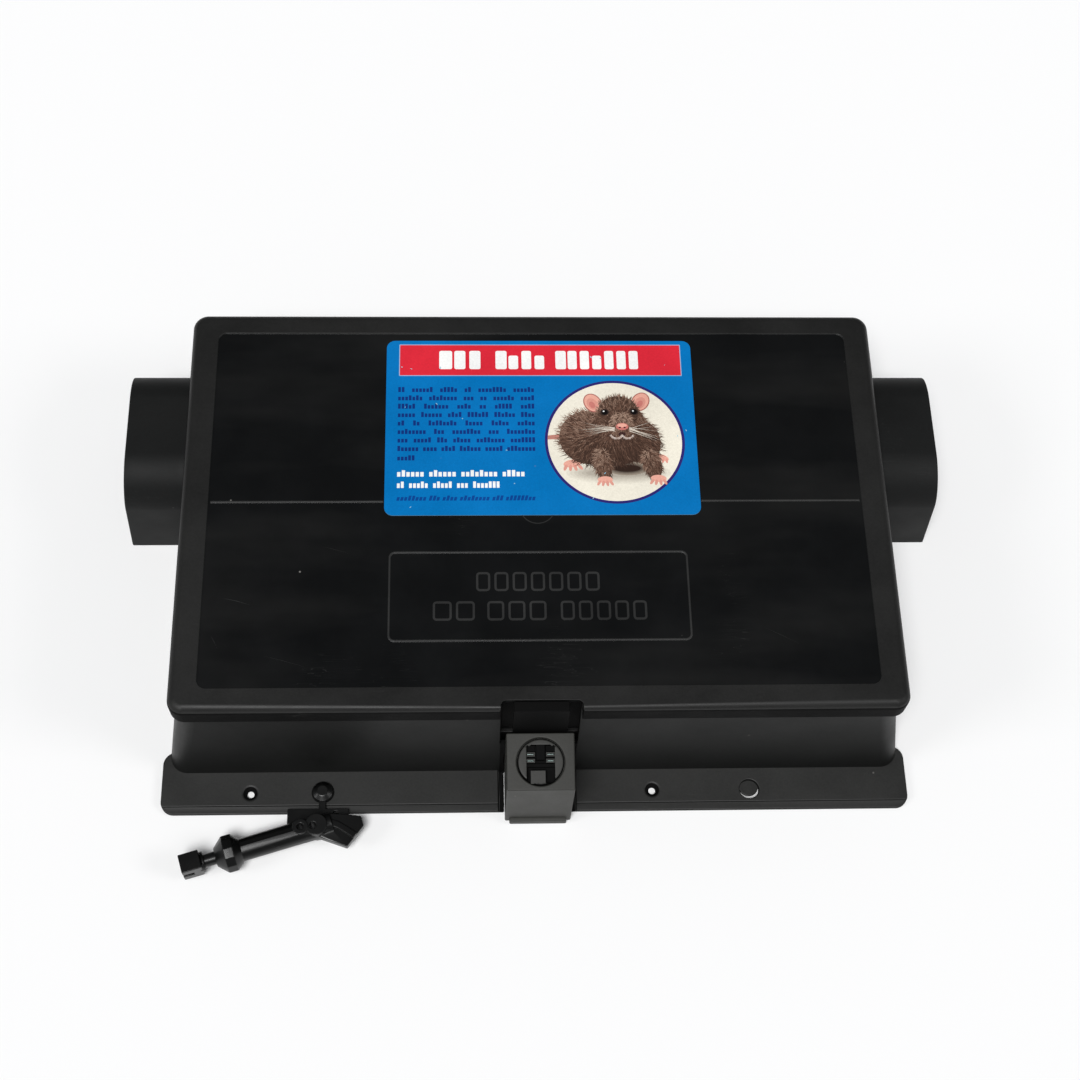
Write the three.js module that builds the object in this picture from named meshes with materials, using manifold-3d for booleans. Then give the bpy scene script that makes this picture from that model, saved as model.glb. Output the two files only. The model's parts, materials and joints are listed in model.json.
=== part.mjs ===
// Tamper-resistant rodent bait station: drafted base, hinged lid, key lock, entry tunnels, bait tray.
// Millimetres, +Z up, +X to the right, -Y to the front. The origin is under the middle of the base.
import * as THREE from 'three';
import { mergeVertices } from 'three/addons/utils/BufferGeometryUtils.js';
import Module from 'manifold-3d';

const wasm = await Module();
wasm.setup();

// ---- driving dimensions ----
const LID_LENGTH = 320;
const LID_DEPTH = 200;
const LID_TOP = 75;
const LID_PLATE = 2.5;
const LID_SKIRT = 12;
const LID_CORNER = 7;
const LID_BORDER_X = 12.5;
const LID_BORDER_Y = 11;
const PANEL_DEPTH = 0.6;
const PANEL_CORNER = 4;
const RIDGE_WIDTH = 0.9;
const RIDGE_HEIGHT = 0.4;
const FRAME_LENGTH = 133;
const FRAME_DEPTH = 43.3;
const FRAME_Y = -46.3;
const FRAME_CORNER = 3;
const RIDGE_Y = 0.3;
const RIB_DEPTH = 2.5;
const NOTCH_WIDTH = 35.4;
const NOTCH_DEPTH = 4.5;
const NOTCH_CORNER = 2.5;
const WALL_SLOT_INSET = 0.5;

const WALL = 2.5;
const FLOOR = 2.5;
const RIM_GAP = 1;
const RIM_HEIGHT = 9;
const RIM_TOP_GAP = 1.5;
const SIDE_DRAFT = 12;
const FRONT_DRAFT = 6.5;
const BASE_CORNER = 8;

const FLANGE_DEPTH = 19;
const FLANGE_THICKNESS = 3;
const FLANGE_OVERHANG = 3;
const FLANGE_CORNER = 6;
const FLANGE_STEP_DEPTH = 3.4;
const FLANGE_STEP = 1;
const FLANGE_LEDGE = 1;
const SCREW_HOLE = 3.2;
const SCREW_HEAD = 7.2;
const SCREW_SINK = 1.9;
const SCREW_XS = [-131, 53];
const PEG_HOLE = 9;
const PEG_X = 98;
const KNOCKOUT_THICKNESS = 0.8;
const KNOCKOUT_GAP = 1.6;
const HOLE_FROM_WALL = 9.6;

const LABEL_LENGTH = 143;
const LABEL_DEPTH = 92;
const LABEL_THICKNESS = 0.35;
const LABEL_X = 2.5;
const LABEL_Y = 39;
const LABEL_CORNER = 4;

const TUNNEL_WIDTH = 69;
const TUNNEL_TOP_GAP = 5;
const TUNNEL_WALL = 2.5;
const TUNNEL_RADIUS = 20;
const TUNNEL_BACK_GAP = 6.2;
const TUNNEL_REACH = 30;
const TUNNEL_SLANT = 4.5;
const TUNNEL_INSIDE = 7;
const COLLAR_THICKNESS = 2.5;
const COLLAR_RIM = 4;

const HINGE_XS = [-98, 98];
const KNUCKLE_RADIUS = 4.2;
const KNUCKLE_LENGTH = 12;
const HINGE_SETBACK = 3.2;
const HINGE_DROP = 6;
const PIN_RADIUS = 1.6;
const PIN_PLAY = 0.35;

const TOWER_SIDE_MARGIN = 4.7;
const TOWER_FRONT_MARGIN = 2;
const TOWER_BACK_MARGIN = 2;
const TOWER_WALL = 1.6;
const TOWER_BACK_TOP = 49.5;
const TOWER_TILT = 10;
const TOWER_PLATE = 2.2;
const TOWER_LIP = 1.6;
const TOWER_WING_DROP = 9;
const LIP_HEIGHT = 5;
const SLOT_SIDE_GAP = 2.8;
const CLIP_HEIGHT = 8;
const CLIP_Z = 10;
const CLIP_HOOK = 2;

const BARREL_RADIUS = 10.3;
const BARREL_TOP = 3;
const SHOULDER_RIM = 0.6;
const SHOULDER_HEIGHT = 2.6;
const STEM_RADIUS = 6.5;
const STEM_LENGTH = 3.6;
const KEY_SLOT_WIDTH = 12;
const KEY_SLOT_DEPTH = 16;
const KEY_RIB = 2;
const CAM_THICKNESS = 3;
const CAM_BITE = 2.4;
const CAM_END_RADIUS = 3;
const CAM_OPEN_TURN = 60;

const KEEPER_SIDE_GAP = 1.4;
const KEEPER_THICKNESS = 3;
const KEEPER_SILL = 4;
const KEEPER_FOOT = 12;
const KEEPER_WINDOW = [-4.5, 9.5];
const KEEPER_WINDOW_HEIGHT = 6;
const KEEPER_SWING_GAP = 1.2;

const KEY_SHAFT_RADIUS = 5.2;
const KEY_SHAFT_LENGTH = 46;
const KEY_COLLAR_RADIUS = 8.6;
const KEY_TURN = 16.6;
const KEY_FORK_WIDTH = 11.4;
const KEY_FORK_THICKNESS = 8.6;
const KEY_BOW_FRONT = 16.7;
const KEY_COLLAR_LENGTH = 4;
const KEY_COLLAR_RISE = 3.5;
const KEY_COLLAR_FALL = 4.5;
const KEY_NECK_RADIUS = 3;
const KEY_SHOULDER_RADIUS = 4.6;
const KEY_TIP = 21;
const KEY_TIP_LENGTH = 9;
const KEY_TIP_SLOT = 5;
const KEY_EYE_X = 12;
const KEY_EYE_RADIUS = 3.6;
const KEY_EYE_HOLE = 1.5;
const KEY_BOSS_X = 5;
const KEY_BOSS_RADIUS = 5;
const KEY_BOSS_HEIGHT = 7.2;
const KEY_BOSS_RISE = 2;
const KEY_BOSS_HOLE_X = 6.5;
const KEY_BOSS_HOLE = 1.6;
const TETHER_CAP_RIM = 0.8;
const TETHER_CAP_HEIGHT = 1.8;
const TETHER_DOME_RADIUS = 2.4;
const TETHER_DOME_HEIGHT = 1.2;
const STRAP_WIDTH = 3.2;
const BOW_THICKNESS = 4;
const BOW_BLADE = [[6.5, 4], [-1.3, -4.5], [-10.6, -1], [-15.4, 1.2], [-15.3, 5.9], [-5.6, 13]];
const TETHER_PAD = [
  [-15.7, 3.2], [-15.7, -3.9], [-7, -3.9], [3, -1.4], [6.3, -1.4], [6.3, -4.5], [12, -4.5], [12, 3.2],
];
const TETHER_PAD_HOLE = { x: 6, y: 0.6, radius: 1.5 };

const TRAY_LENGTH = 200;
const TRAY_HEIGHT = 17;
const TRAY_WALL = 2;
const TRAY_FRONT_GAP = 4;
const TRAY_BACK_GAP = 11.8;
const ROD_RADIUS = 2;
const ROD_SPACING = 34;
const ROD_Z = 30;
const BRACKET_INSET = 20;
const BRACKET_THICKNESS = 3;
const BRACKET_REACH = 7;
const BRACKET_ABOVE_ROD = 6;
const BRACKET_FOOT = 4;
const ROD_OVERHANG = 8;
const ROD_HOOK = 10;
const TRAY_CORNER = 5;
const DIVIDER_DROP = 3;

const BAFFLE_THICKNESS = 2.5;
const BAFFLE_GAP = 2;
const BAFFLE_GATE = 62;
const BAFFLE_TOP_GAP = 3;
const RAIL = 2;
const RUNWAY_BAFFLE_DEPTH = 46;

const GAP = 0.3;
const ROUND = 32;
const CUT = 1;

// ---- worked-out places ----
const halfLid = { x: LID_LENGTH / 2, y: LID_DEPTH / 2 };
const skirtBottom = LID_TOP - LID_SKIRT;
const lidUnderside = LID_TOP - LID_PLATE;
const rim = { x: halfLid.x - LID_PLATE - RIM_GAP, y: halfLid.y - LID_PLATE - RIM_GAP };
const foot = { x: rim.x + SIDE_DRAFT, y: rim.y + FRONT_DRAFT };
const rimTop = lidUnderside - RIM_TOP_GAP;
const draftTop = rimTop - RIM_HEIGHT;
const floorTop = FLOOR + GAP;
const frontWall = -foot.y;
const flangeFront = frontWall - FLANGE_DEPTH;
const holeY = frontWall - HOLE_FROM_WALL;
const panelTop = LID_TOP - PANEL_DEPTH;
const tunnelHeight = skirtBottom - TUNNEL_TOP_GAP;
const tunnelInnerX = rim.x - WALL - TUNNEL_INSIDE;
const collarHalf = TUNNEL_WIDTH / 2 + GAP + COLLAR_RIM;
const tunnelY = rim.y - WALL - TUNNEL_BACK_GAP - collarHalf;
const baffleY = tunnelY - collarHalf - BAFFLE_GAP - BAFFLE_THICKNESS / 2;
const hinge = { y: halfLid.y + HINGE_SETBACK, z: skirtBottom - HINGE_DROP };
const tilt = THREE.MathUtils.degToRad(TOWER_TILT);
const keeperFace = -halfLid.y + 0.1;
const barrelHole = BARREL_RADIUS + GAP;
const barrelY = keeperFace - KEEPER_SWING_GAP - TOWER_BACK_MARGIN - barrelHole;
const towerFront = barrelY - BARREL_RADIUS - TOWER_FRONT_MARGIN;
const towerHalf = BARREL_RADIUS + TOWER_SIDE_MARGIN;
const innerTower = towerHalf - TOWER_WALL;
const keeperHalf = innerTower - KEEPER_SIDE_GAP;
const wallSlot = NOTCH_WIDTH / 2 - WALL_SLOT_INSET;
const towerBack = frontWall + 2;
const barrelZ = TOWER_BACK_TOP - (towerBack - barrelY) * Math.tan(tilt);
const trayFront = -rim.y + WALL + TRAY_FRONT_GAP;
const trayBack = baffleY - BAFFLE_THICKNESS / 2 - TRAY_BACK_GAP;
const trayDepth = trayBack - trayFront;
const trayY = (trayFront + trayBack) / 2;
const rodYs = [trayY - ROD_SPACING / 2, trayY + ROD_SPACING / 2];
const bracketX = TRAY_LENGTH / 2 - BRACKET_INSET;
const baffleTop = lidUnderside - RIB_DEPTH - BAFFLE_TOP_GAP;
const tunnelEnd = halfLid.x + TUNNEL_REACH;

// ---- shape helpers ----
function solid(geometry) {
  const bare = geometry.clone();
  bare.deleteAttribute('normal');
  bare.deleteAttribute('uv');
  const merged = mergeVertices(bare, 1e-4);
  return new wasm.Manifold(new wasm.Mesh({
    numProp: 3,
    vertProperties: new Float32Array(merged.attributes.position.array),
    triVerts: new Uint32Array(merged.index.array),
  }));
}

function geometryOf(body) {
  const mesh = body.getMesh();
  const geometry = new THREE.BufferGeometry();
  geometry.setAttribute('position', new THREE.BufferAttribute(mesh.vertProperties, 3));
  geometry.setIndex(new THREE.BufferAttribute(mesh.triVerts, 1));
  geometry.computeVertexNormals();
  return geometry;
}

function join(first, ...others) {
  return others.reduce((whole, piece) => whole.add(piece), first);
}

function cut(first, ...others) {
  return others.reduce((whole, piece) => whole.subtract(piece), first);
}

function block(x0, x1, y0, y1, z0, z1) {
  const geometry = new THREE.BoxGeometry(x1 - x0, y1 - y0, z1 - z0);
  geometry.translate((x0 + x1) / 2, (y0 + y1) / 2, (z0 + z1) / 2);
  return solid(geometry);
}

function upright(radius, x, y, z0, z1, topRadius = radius, sides = ROUND) {
  const geometry = new THREE.CylinderGeometry(topRadius, radius, z1 - z0, sides);
  geometry.rotateX(Math.PI / 2);
  geometry.translate(x, y, (z0 + z1) / 2);
  return solid(geometry);
}

function crosswise(radius, x0, x1, y, z, sides = ROUND) {
  const geometry = new THREE.CylinderGeometry(radius, radius, x1 - x0, sides);
  geometry.rotateZ(Math.PI / 2);
  geometry.translate((x0 + x1) / 2, y, z);
  return solid(geometry);
}

function roundedOutline(halfX, halfY, radius) {
  const outline = new THREE.Shape();
  outline.moveTo(-halfX + radius, -halfY);
  outline.absarc(halfX - radius, -halfY + radius, radius, -Math.PI / 2, 0);
  outline.absarc(halfX - radius, halfY - radius, radius, 0, Math.PI / 2);
  outline.absarc(-halfX + radius, halfY - radius, radius, Math.PI / 2, Math.PI);
  outline.absarc(-halfX + radius, -halfY + radius, radius, Math.PI, Math.PI * 1.5);
  return outline;
}

function prism(outline, z0, z1, curveSegments = 8) {
  const depth = z1 - z0;
  const geometry = new THREE.ExtrudeGeometry(outline, { depth, bevelEnabled: false, curveSegments });
  geometry.translate(0, 0, z0);
  return geometry;
}

function roundedPlate(halfX, halfY, radius, z0, z1) {
  return solid(prism(roundedOutline(halfX, halfY, radius), z0, z1));
}

// A rounded prism whose sides lean in by inset from z0 to z1.
function drafted(halfX, halfY, radius, inset, z0, z1) {
  const geometry = prism(roundedOutline(halfX, halfY, radius), z0, z1);
  const place = geometry.attributes.position;
  for (let i = 0; i < place.count; i += 1) {
    const up = (place.getZ(i) - z0) / (z1 - z0);
    place.setX(i, place.getX(i) - Math.sign(place.getX(i)) * inset.x * up);
    place.setY(i, place.getY(i) - Math.sign(place.getY(i)) * inset.y * up);
  }
  return solid(geometry);
}

// The outside of the base wall, grown sideways by grow.
function wallEnvelope(grow, z0 = 0) {
  const up = z0 / draftTop;
  const lean = { x: SIDE_DRAFT * (1 - up), y: FRONT_DRAFT * (1 - up) };
  const halfX = foot.x - SIDE_DRAFT * up + grow;
  const halfY = foot.y - FRONT_DRAFT * up + grow;
  const radius = BASE_CORNER + grow;
  const walls = drafted(halfX, halfY, radius, lean, z0, draftTop);
  return join(walls, roundedPlate(rim.x + grow, rim.y + grow, radius, draftTop, rimTop));
}

function archOutline(halfWidth, height, radius, bottom) {
  const outline = new THREE.Shape();
  outline.moveTo(-halfWidth, bottom);
  outline.lineTo(halfWidth, bottom);
  outline.absarc(halfWidth - radius, height - radius, radius, 0, Math.PI / 2);
  outline.absarc(-halfWidth + radius, height - radius, radius, Math.PI / 2, Math.PI);
  return outline;
}

// An arch outline drawn in Y and Z, run along X from x0 to x1; its outer end leans by slant.
function archRun(outline, x0, x1, slant = 0) {
  const geometry = prism(outline, 0, x1 - x0, 8);
  geometry.rotateX(Math.PI / 2);
  geometry.rotateZ(Math.PI / 2);
  geometry.translate(x0, tunnelY, 0);
  const place = geometry.attributes.position;
  for (let i = 0; i < place.count; i += 1) {
    if (place.getX(i) > x1 - GAP) {
      place.setX(i, place.getX(i) + slant * (1 - place.getZ(i) / tunnelHeight));
    }
  }
  return solid(geometry);
}

function turned(body, axis, angle, about) {
  const geometry = geometryOf(body);
  geometry.translate(-about.x, -about.y, -about.z);
  geometry.applyMatrix4(new THREE.Matrix4().makeRotationAxis(axis, angle));
  geometry.translate(about.x, about.y, about.z);
  return solid(geometry);
}

function mirrored(body) {
  const geometry = geometryOf(body);
  const place = geometry.attributes.position;
  for (let i = 0; i < place.count; i += 1) {
    place.setX(i, -place.getX(i));
  }
  const index = geometry.index.array;
  for (let i = 0; i < index.length; i += 3) {
    const first = index[i];
    index[i] = index[i + 1];
    index[i + 1] = first;
  }
  return solid(geometry);
}

function finish(color, roughness, metalness = 0) {
  return new THREE.MeshStandardMaterial({ color, roughness, metalness });
}

const plastics = {
  lid: finish(0x1c1e1f, 0.5),
  base: finish(0x202120, 0.6),
  lock: finish(0x2e2e2b, 0.6),
  key: finish(0x1b1b1b, 0.45),
  tray: finish(0x242424, 0.65),
  label: finish(0x0078bc, 0.35),
};
const steel = finish(0xb4b6b8, 0.3, 1);

const model = new THREE.Group();

function add(name, body, material, parent = model) {
  const mesh = new THREE.Mesh(geometryOf(body), material);
  mesh.name = name;
  parent.add(mesh);
  return mesh;
}

// ---- base ----
function knuckles(x, offsets) {
  const half = KNUCKLE_LENGTH / 2;
  return offsets.map((offset) => {
    const middle = x + offset * (KNUCKLE_LENGTH + 2 * GAP);
    return [middle - half, middle + half];
  });
}

function baseKnuckle([x0, x1]) {
  const top = hinge.z + 1;
  const web = block(x0, x1, rim.y - CUT, hinge.y, hinge.z - KNUCKLE_RADIUS, top);
  return join(crosswise(KNUCKLE_RADIUS, x0, x1, hinge.y, hinge.z, 20), web);
}

function flange() {
  const half = foot.x + FLANGE_OVERHANG;
  const depth = FLANGE_DEPTH + BASE_CORNER + WALL;
  const plate = prism(roundedOutline(half, depth / 2, FLANGE_CORNER), 0, FLANGE_THICKNESS);
  plate.translate(0, flangeFront + depth / 2, 0);
  const above = FLANGE_THICKNESS + CUT;
  const holes = [];
  for (const x of SCREW_XS) {
    holes.push(upright(SCREW_HOLE / 2, x, holeY, -CUT, above));
    const sinkBottom = FLANGE_THICKNESS - SCREW_SINK;
    holes.push(upright(SCREW_HOLE / 2, x, holeY, sinkBottom, FLANGE_THICKNESS + 0.01, SCREW_HEAD / 2));
  }
  holes.push(upright(PEG_HOLE / 2, -PEG_X, holeY, -CUT, above));
  holes.push(...knockout());
  const slotHalf = towerHalf + SLOT_SIDE_GAP;
  const ledgeHalf = towerHalf + GAP;
  const slotBack = frontWall + WALL / 2;
  holes.push(block(-slotHalf, slotHalf, flangeFront - CUT, slotBack, FLANGE_LEDGE, above));
  holes.push(block(-ledgeHalf, ledgeHalf, flangeFront - CUT, slotBack, -CUT, above));
  const stepTop = FLANGE_THICKNESS - FLANGE_STEP;
  const stepBack = flangeFront + FLANGE_STEP_DEPTH;
  holes.push(block(-half - CUT, half + CUT, flangeFront - CUT, stepBack, stepTop, above));
  return cut(solid(plate), baseCavity(), ...holes);
}

// The spare peg hole is closed by a thin web, open only in a crescent at its front.
function knockout() {
  const radius = PEG_HOLE / 2;
  const above = FLANGE_THICKNESS + CUT;
  const recess = upright(radius, PEG_X, holeY, KNOCKOUT_THICKNESS, above);
  const whole = upright(radius, PEG_X, holeY, -CUT, above);
  const web = upright(radius, PEG_X, holeY + KNOCKOUT_GAP, -2 * CUT, above + CUT);
  return [recess, cut(whole, web)];
}

function rails() {
  const bars = [];
  const z1 = FLOOR + 4;
  for (const side of [-1, 1]) {
    const inner = Math.min(side * (BAFFLE_GATE + 8), side * (tunnelInnerX - 14));
    const outer = Math.max(side * (BAFFLE_GATE + 8), side * (tunnelInnerX - 14));
    const edge = BAFFLE_THICKNESS / 2 + GAP;
    for (const face of [-1, 1]) {
      const near = baffleY + face * edge;
      const far = near + face * RAIL;
      bars.push(block(inner, outer, Math.min(near, far), Math.max(near, far), FLOOR - CUT, z1));
      const nearX = side * BAFFLE_GATE + face * edge;
      const farX = nearX + face * RAIL;
      const y0 = baffleY + 10;
      const y1 = y0 + RUNWAY_BAFFLE_DEPTH - 16;
      bars.push(block(Math.min(nearX, farX), Math.max(nearX, farX), y0, y1, FLOOR - CUT, z1));
    }
  }
  return bars;
}

function tunnelHole(side) {
  const outline = archOutline(TUNNEL_WIDTH / 2 + GAP, tunnelHeight + GAP, TUNNEL_RADIUS + GAP, -CUT);
  const hole = archRun(outline, tunnelInnerX - 2 * GAP, foot.x + FLANGE_OVERHANG + CUT);
  return side < 0 ? mirrored(hole) : hole;
}

function clipBlocks(grow) {
  const clips = [];
  for (const side of [-1, 1]) {
    const x0 = side * (towerHalf + grow);
    const x1 = side * (innerTower - grow);
    const y1 = frontWall + WALL + CLIP_HOOK + 1.5 + grow;
    const z0 = CLIP_Z - grow;
    const z1 = CLIP_Z + CLIP_HEIGHT + grow;
    clips.push(block(Math.min(x0, x1), Math.max(x0, x1), frontWall - CUT, y1, z0, z1));
  }
  return clips;
}

function base() {
  const shell = cut(wallEnvelope(0), baseCavity());
  const parts = [flange(), ...rails()];
  for (const x of HINGE_XS) {
    for (const span of knuckles(x, [0])) {
      parts.push(baseKnuckle(span));
    }
  }
  const holes = [tunnelHole(-1), tunnelHole(1), ...clipBlocks(GAP)];
  const slotBack = -rim.y + WALL + CUT;
  holes.push(block(-wallSlot, wallSlot, frontWall - CUT, slotBack, keeperBottom - 1, rimTop + CUT));
  for (const x of HINGE_XS) {
    const reach = KNUCKLE_LENGTH * 2;
    holes.push(crosswise(PIN_RADIUS + GAP / 2, x - reach, x + reach, hinge.y, hinge.z, 16));
  }
  return cut(join(shell, ...parts), ...holes);
}

function baseCavity() {
  const up = FLOOR / draftTop;
  const lean = { x: SIDE_DRAFT * (1 - up), y: FRONT_DRAFT * (1 - up) };
  const halfX = foot.x - SIDE_DRAFT * up - WALL;
  const halfY = foot.y - FRONT_DRAFT * up - WALL;
  const radius = BASE_CORNER - WALL;
  const lower = drafted(halfX, halfY, radius, lean, FLOOR, draftTop);
  return join(lower, roundedPlate(rim.x - WALL, rim.y - WALL, radius, draftTop, rimTop + CUT));
}

// ---- lid ----
function frameLines() {
  const halfX = FRAME_LENGTH / 2;
  const halfY = FRAME_DEPTH / 2;
  const outline = roundedOutline(halfX, halfY, FRAME_CORNER);
  const innerCorner = FRAME_CORNER - RIDGE_WIDTH;
  const innerOutline = roundedOutline(halfX - RIDGE_WIDTH, halfY - RIDGE_WIDTH, innerCorner);
  const outer = prism(outline, panelTop - 0.2, panelTop + RIDGE_HEIGHT, 3);
  const inner = prism(innerOutline, panelTop - CUT, panelTop + CUT, 3);
  outer.translate(0, FRAME_Y, 0);
  inner.translate(0, FRAME_Y, 0);
  return cut(solid(outer), solid(inner));
}

function ridges() {
  const end = halfLid.x - LID_BORDER_X - 1;
  const left = LABEL_X - LABEL_LENGTH / 2 - GAP;
  const right = LABEL_X + LABEL_LENGTH / 2 + GAP;
  const y0 = RIDGE_Y - RIDGE_WIDTH / 2;
  const y1 = y0 + RIDGE_WIDTH;
  const z0 = panelTop - 0.2;
  const z1 = panelTop + RIDGE_HEIGHT;
  return [block(-end, left, y0, y1, z0, z1), block(right, end, y0, y1, z0, z1)];
}

function lidArm([x0, x1]) {
  const tube = crosswise(KNUCKLE_RADIUS, x0, x1, hinge.y, hinge.z, 20);
  const back = halfLid.y + 2;
  const web = block(x0, x1, halfLid.y - LID_PLATE + 1, back, hinge.z, skirtBottom + 3);
  return join(tube, web);
}

function lid() {
  const outer = roundedPlate(halfLid.x, halfLid.y, LID_CORNER, skirtBottom, LID_TOP);
  const hollowX = halfLid.x - LID_PLATE;
  const hollowY = halfLid.y - LID_PLATE;
  const hollow = roundedPlate(hollowX, hollowY, LID_CORNER - LID_PLATE, skirtBottom - CUT, lidUnderside);
  const panelX = halfLid.x - LID_BORDER_X;
  const panelY = halfLid.y - LID_BORDER_Y;
  const panel = roundedPlate(panelX, panelY, PANEL_CORNER, panelTop, LID_TOP + CUT);
  const raised = [frameLines(), ...ridges()];
  for (const x of [-92, 92]) {
    raised.push(block(x - 1, x + 1, -rim.y + 10, rim.y - 10, lidUnderside - RIB_DEPTH, lidUnderside + 0.2));
  }
  for (const x of HINGE_XS) {
    for (const span of knuckles(x, [-1, 1])) {
      raised.push(lidArm(span));
    }
  }
  const holes = [];
  const notch = prism(
    roundedOutline(NOTCH_WIDTH / 2, NOTCH_DEPTH, NOTCH_CORNER),
    skirtBottom - CUT,
    LID_TOP + CUT,
  );
  notch.translate(0, -halfLid.y, 0);
  holes.push(solid(notch));
  for (const x of HINGE_XS) {
    const reach = KNUCKLE_LENGTH * 2;
    holes.push(crosswise(PIN_RADIUS + PIN_PLAY, x - reach, x + reach, hinge.y, hinge.z, 16));
  }
  for (const side of [-1, 1]) {
    const x = side * keeperScrewX;
    holes.push(upright(1.3, x, keeperScrewY, lidUnderside - CUT, lidUnderside + 1.6, 1.3, 12));
  }
  return cut(join(cut(outer, hollow, panel), ...raised), ...holes);
}

// ---- keeper under the lid ----
const keeperBack = keeperFace + KEEPER_THICKNESS;
const keeperScrewY = keeperBack + KEEPER_FOOT / 2 + 1;
const keeperTop = lidUnderside - GAP;
const keeperFootBottom = keeperTop - KEEPER_THICKNESS;
const camPlaneDrop = BARREL_TOP + SHOULDER_HEIGHT + STEM_LENGTH + GAP + CAM_THICKNESS / 2;
const camCentre = {
  y: barrelY + camPlaneDrop * Math.sin(tilt),
  z: barrelZ - camPlaneDrop * Math.cos(tilt),
};
const windowZ = camCentre.z + (keeperFace - camCentre.y + KEEPER_THICKNESS / 2) * Math.tan(tilt);
const keeperBottom = windowZ - KEEPER_WINDOW_HEIGHT / 2 - KEEPER_SILL;
const camReach = (keeperFace - camCentre.y) / Math.cos(tilt) + CAM_BITE - CAM_END_RADIUS;
const keeperScrewX = keeperHalf - 5;
const shoulderRadius = BARREL_RADIUS + SHOULDER_RIM;

function keeper() {
  const half = keeperHalf;
  const plate = block(-half, half, keeperFace, keeperBack, keeperBottom, keeperTop - GAP);
  const footPlate = block(-half, half, keeperFace, keeperBack + KEEPER_FOOT, keeperFootBottom, keeperTop);
  const windowHalf = KEEPER_WINDOW_HEIGHT / 2;
  const window = block(
    KEEPER_WINDOW[0],
    KEEPER_WINDOW[1],
    keeperFace - CUT,
    keeperBack + CUT,
    windowZ - windowHalf,
    windowZ + windowHalf,
  );
  const holes = [-1, 1].map((side) => (
    upright(1.8, side * keeperScrewX, keeperScrewY, keeperFootBottom - CUT, keeperTop + CUT, 1.8, 16)
  ));
  return cut(join(plate, footPlate), window, ...holes);
}

function keeperScrew(side) {
  const x = side * keeperScrewX;
  const y = keeperScrewY;
  const under = keeperFootBottom - GAP;
  const headBottom = under - 1.6;
  const shank = upright(1, x, y, under - 0.5, lidUnderside + 1.2, 1, 12);
  const head = upright(3, x, y, headBottom, under, 3, 20);
  const slot = block(x - 3.2, x + 3.2, y - 0.4, y + 0.4, headBottom - CUT, headBottom + 0.7);
  return cut(join(head, shank), slot);
}

// ---- label ----
function label() {
  const bottom = panelTop + 0.1;
  const outline = roundedOutline(LABEL_LENGTH / 2, LABEL_DEPTH / 2, LABEL_CORNER);
  const plate = prism(outline, bottom, bottom + LABEL_THICKNESS);
  plate.translate(LABEL_X, LABEL_Y, 0);
  return solid(plate);
}

// ---- entry tunnels ----
function tunnelSleeve() {
  const half = TUNNEL_WIDTH / 2;
  const outline = archOutline(half, tunnelHeight, TUNNEL_RADIUS, 0);
  const innerHeight = tunnelHeight - TUNNEL_WALL;
  const innerRadius = TUNNEL_RADIUS - TUNNEL_WALL;
  const hollow = archOutline(half - TUNNEL_WALL, innerHeight, innerRadius, TUNNEL_WALL);
  const outside = archRun(outline, tunnelInnerX, tunnelEnd, TUNNEL_SLANT);
  return cut(outside, archRun(hollow, tunnelInnerX - CUT, tunnelEnd + 2 * TUNNEL_SLANT));
}

function tunnelCollar() {
  const half = TUNNEL_WIDTH / 2 + GAP;
  const x1 = tunnelInnerX + 1 + COLLAR_THICKNESS;
  const height = tunnelHeight + GAP;
  const radius = TUNNEL_RADIUS + GAP;
  const outline = archOutline(half + COLLAR_RIM, height + COLLAR_RIM, radius + COLLAR_RIM, floorTop);
  const hollow = archOutline(half, height, radius, -CUT);
  const ring = archRun(outline, tunnelInnerX + 1, x1);
  return cut(ring, archRun(hollow, tunnelInnerX, x1 + CUT));
}

// ---- hinge pins ----
function hingePin(x) {
  const half = 1.5 * KNUCKLE_LENGTH + 2 * GAP;
  const rod = crosswise(PIN_RADIUS, x - half - 1, x + half + 1, hinge.y, hinge.z, 16);
  return join(rod, crosswise(PIN_RADIUS + 1, x + half + 1, x + half + 2.2, hinge.y, hinge.z, 16));
}

// ---- lock ----
function lockHousing() {
  const half = towerHalf;
  const height = TOWER_BACK_TOP;
  const about = { x: 0, y: towerBack, z: TOWER_BACK_TOP };
  const across = new THREE.Vector3(1, 0, 0);
  const above = (drop) => {
    const slab = block(-half - 5, half + 5, towerFront - 20, towerBack + 20, height - drop, height + 30);
    return turned(slab, across, tilt, about);
  };
  const outside = cut(block(-half, half, towerFront, towerBack + 4, GAP, height + 8), above(0));
  const front = towerFront + TOWER_WALL;
  const inside = cut(
    block(-innerTower, innerTower, front, towerBack + 6, -CUT, height + 8),
    above(TOWER_PLATE),
  );
  const lip = block(-half + 2, half - 2, towerFront - TOWER_LIP, towerFront + 0.2, GAP, LIP_HEIGHT);
  const hole = turned(
    upright(barrelHole, 0, barrelY, barrelZ - 12, barrelZ + 12, barrelHole, 48),
    across,
    tilt,
    { x: 0, y: barrelY, z: barrelZ },
  );
  const swing = block(
    -innerTower,
    innerTower,
    keeperFace - KEEPER_SWING_GAP,
    towerBack + 6,
    -CUT,
    height + 8,
  );
  const wingTop = height - TOWER_WING_DROP;
  const wingFront = keeperFace - KEEPER_SWING_GAP;
  const wings = block(-half - CUT, half + CUT, wingFront, towerBack + 6, wingTop, height + 8);
  const body = cut(join(outside, lip), inside, swing, wings, wallEnvelope(GAP), hole);
  const hooks = [];
  for (const side of [-1, 1]) {
    const y0 = towerBack - 8;
    const y1 = frontWall + WALL + CLIP_HOOK + 1.5;
    const x0 = Math.min(side * half, side * innerTower);
    const x1 = Math.max(side * half, side * innerTower);
    hooks.push(block(x0, x1, y0, y1, CLIP_Z, CLIP_Z + CLIP_HEIGHT));
  }
  return join(body, ...hooks);
}

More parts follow.
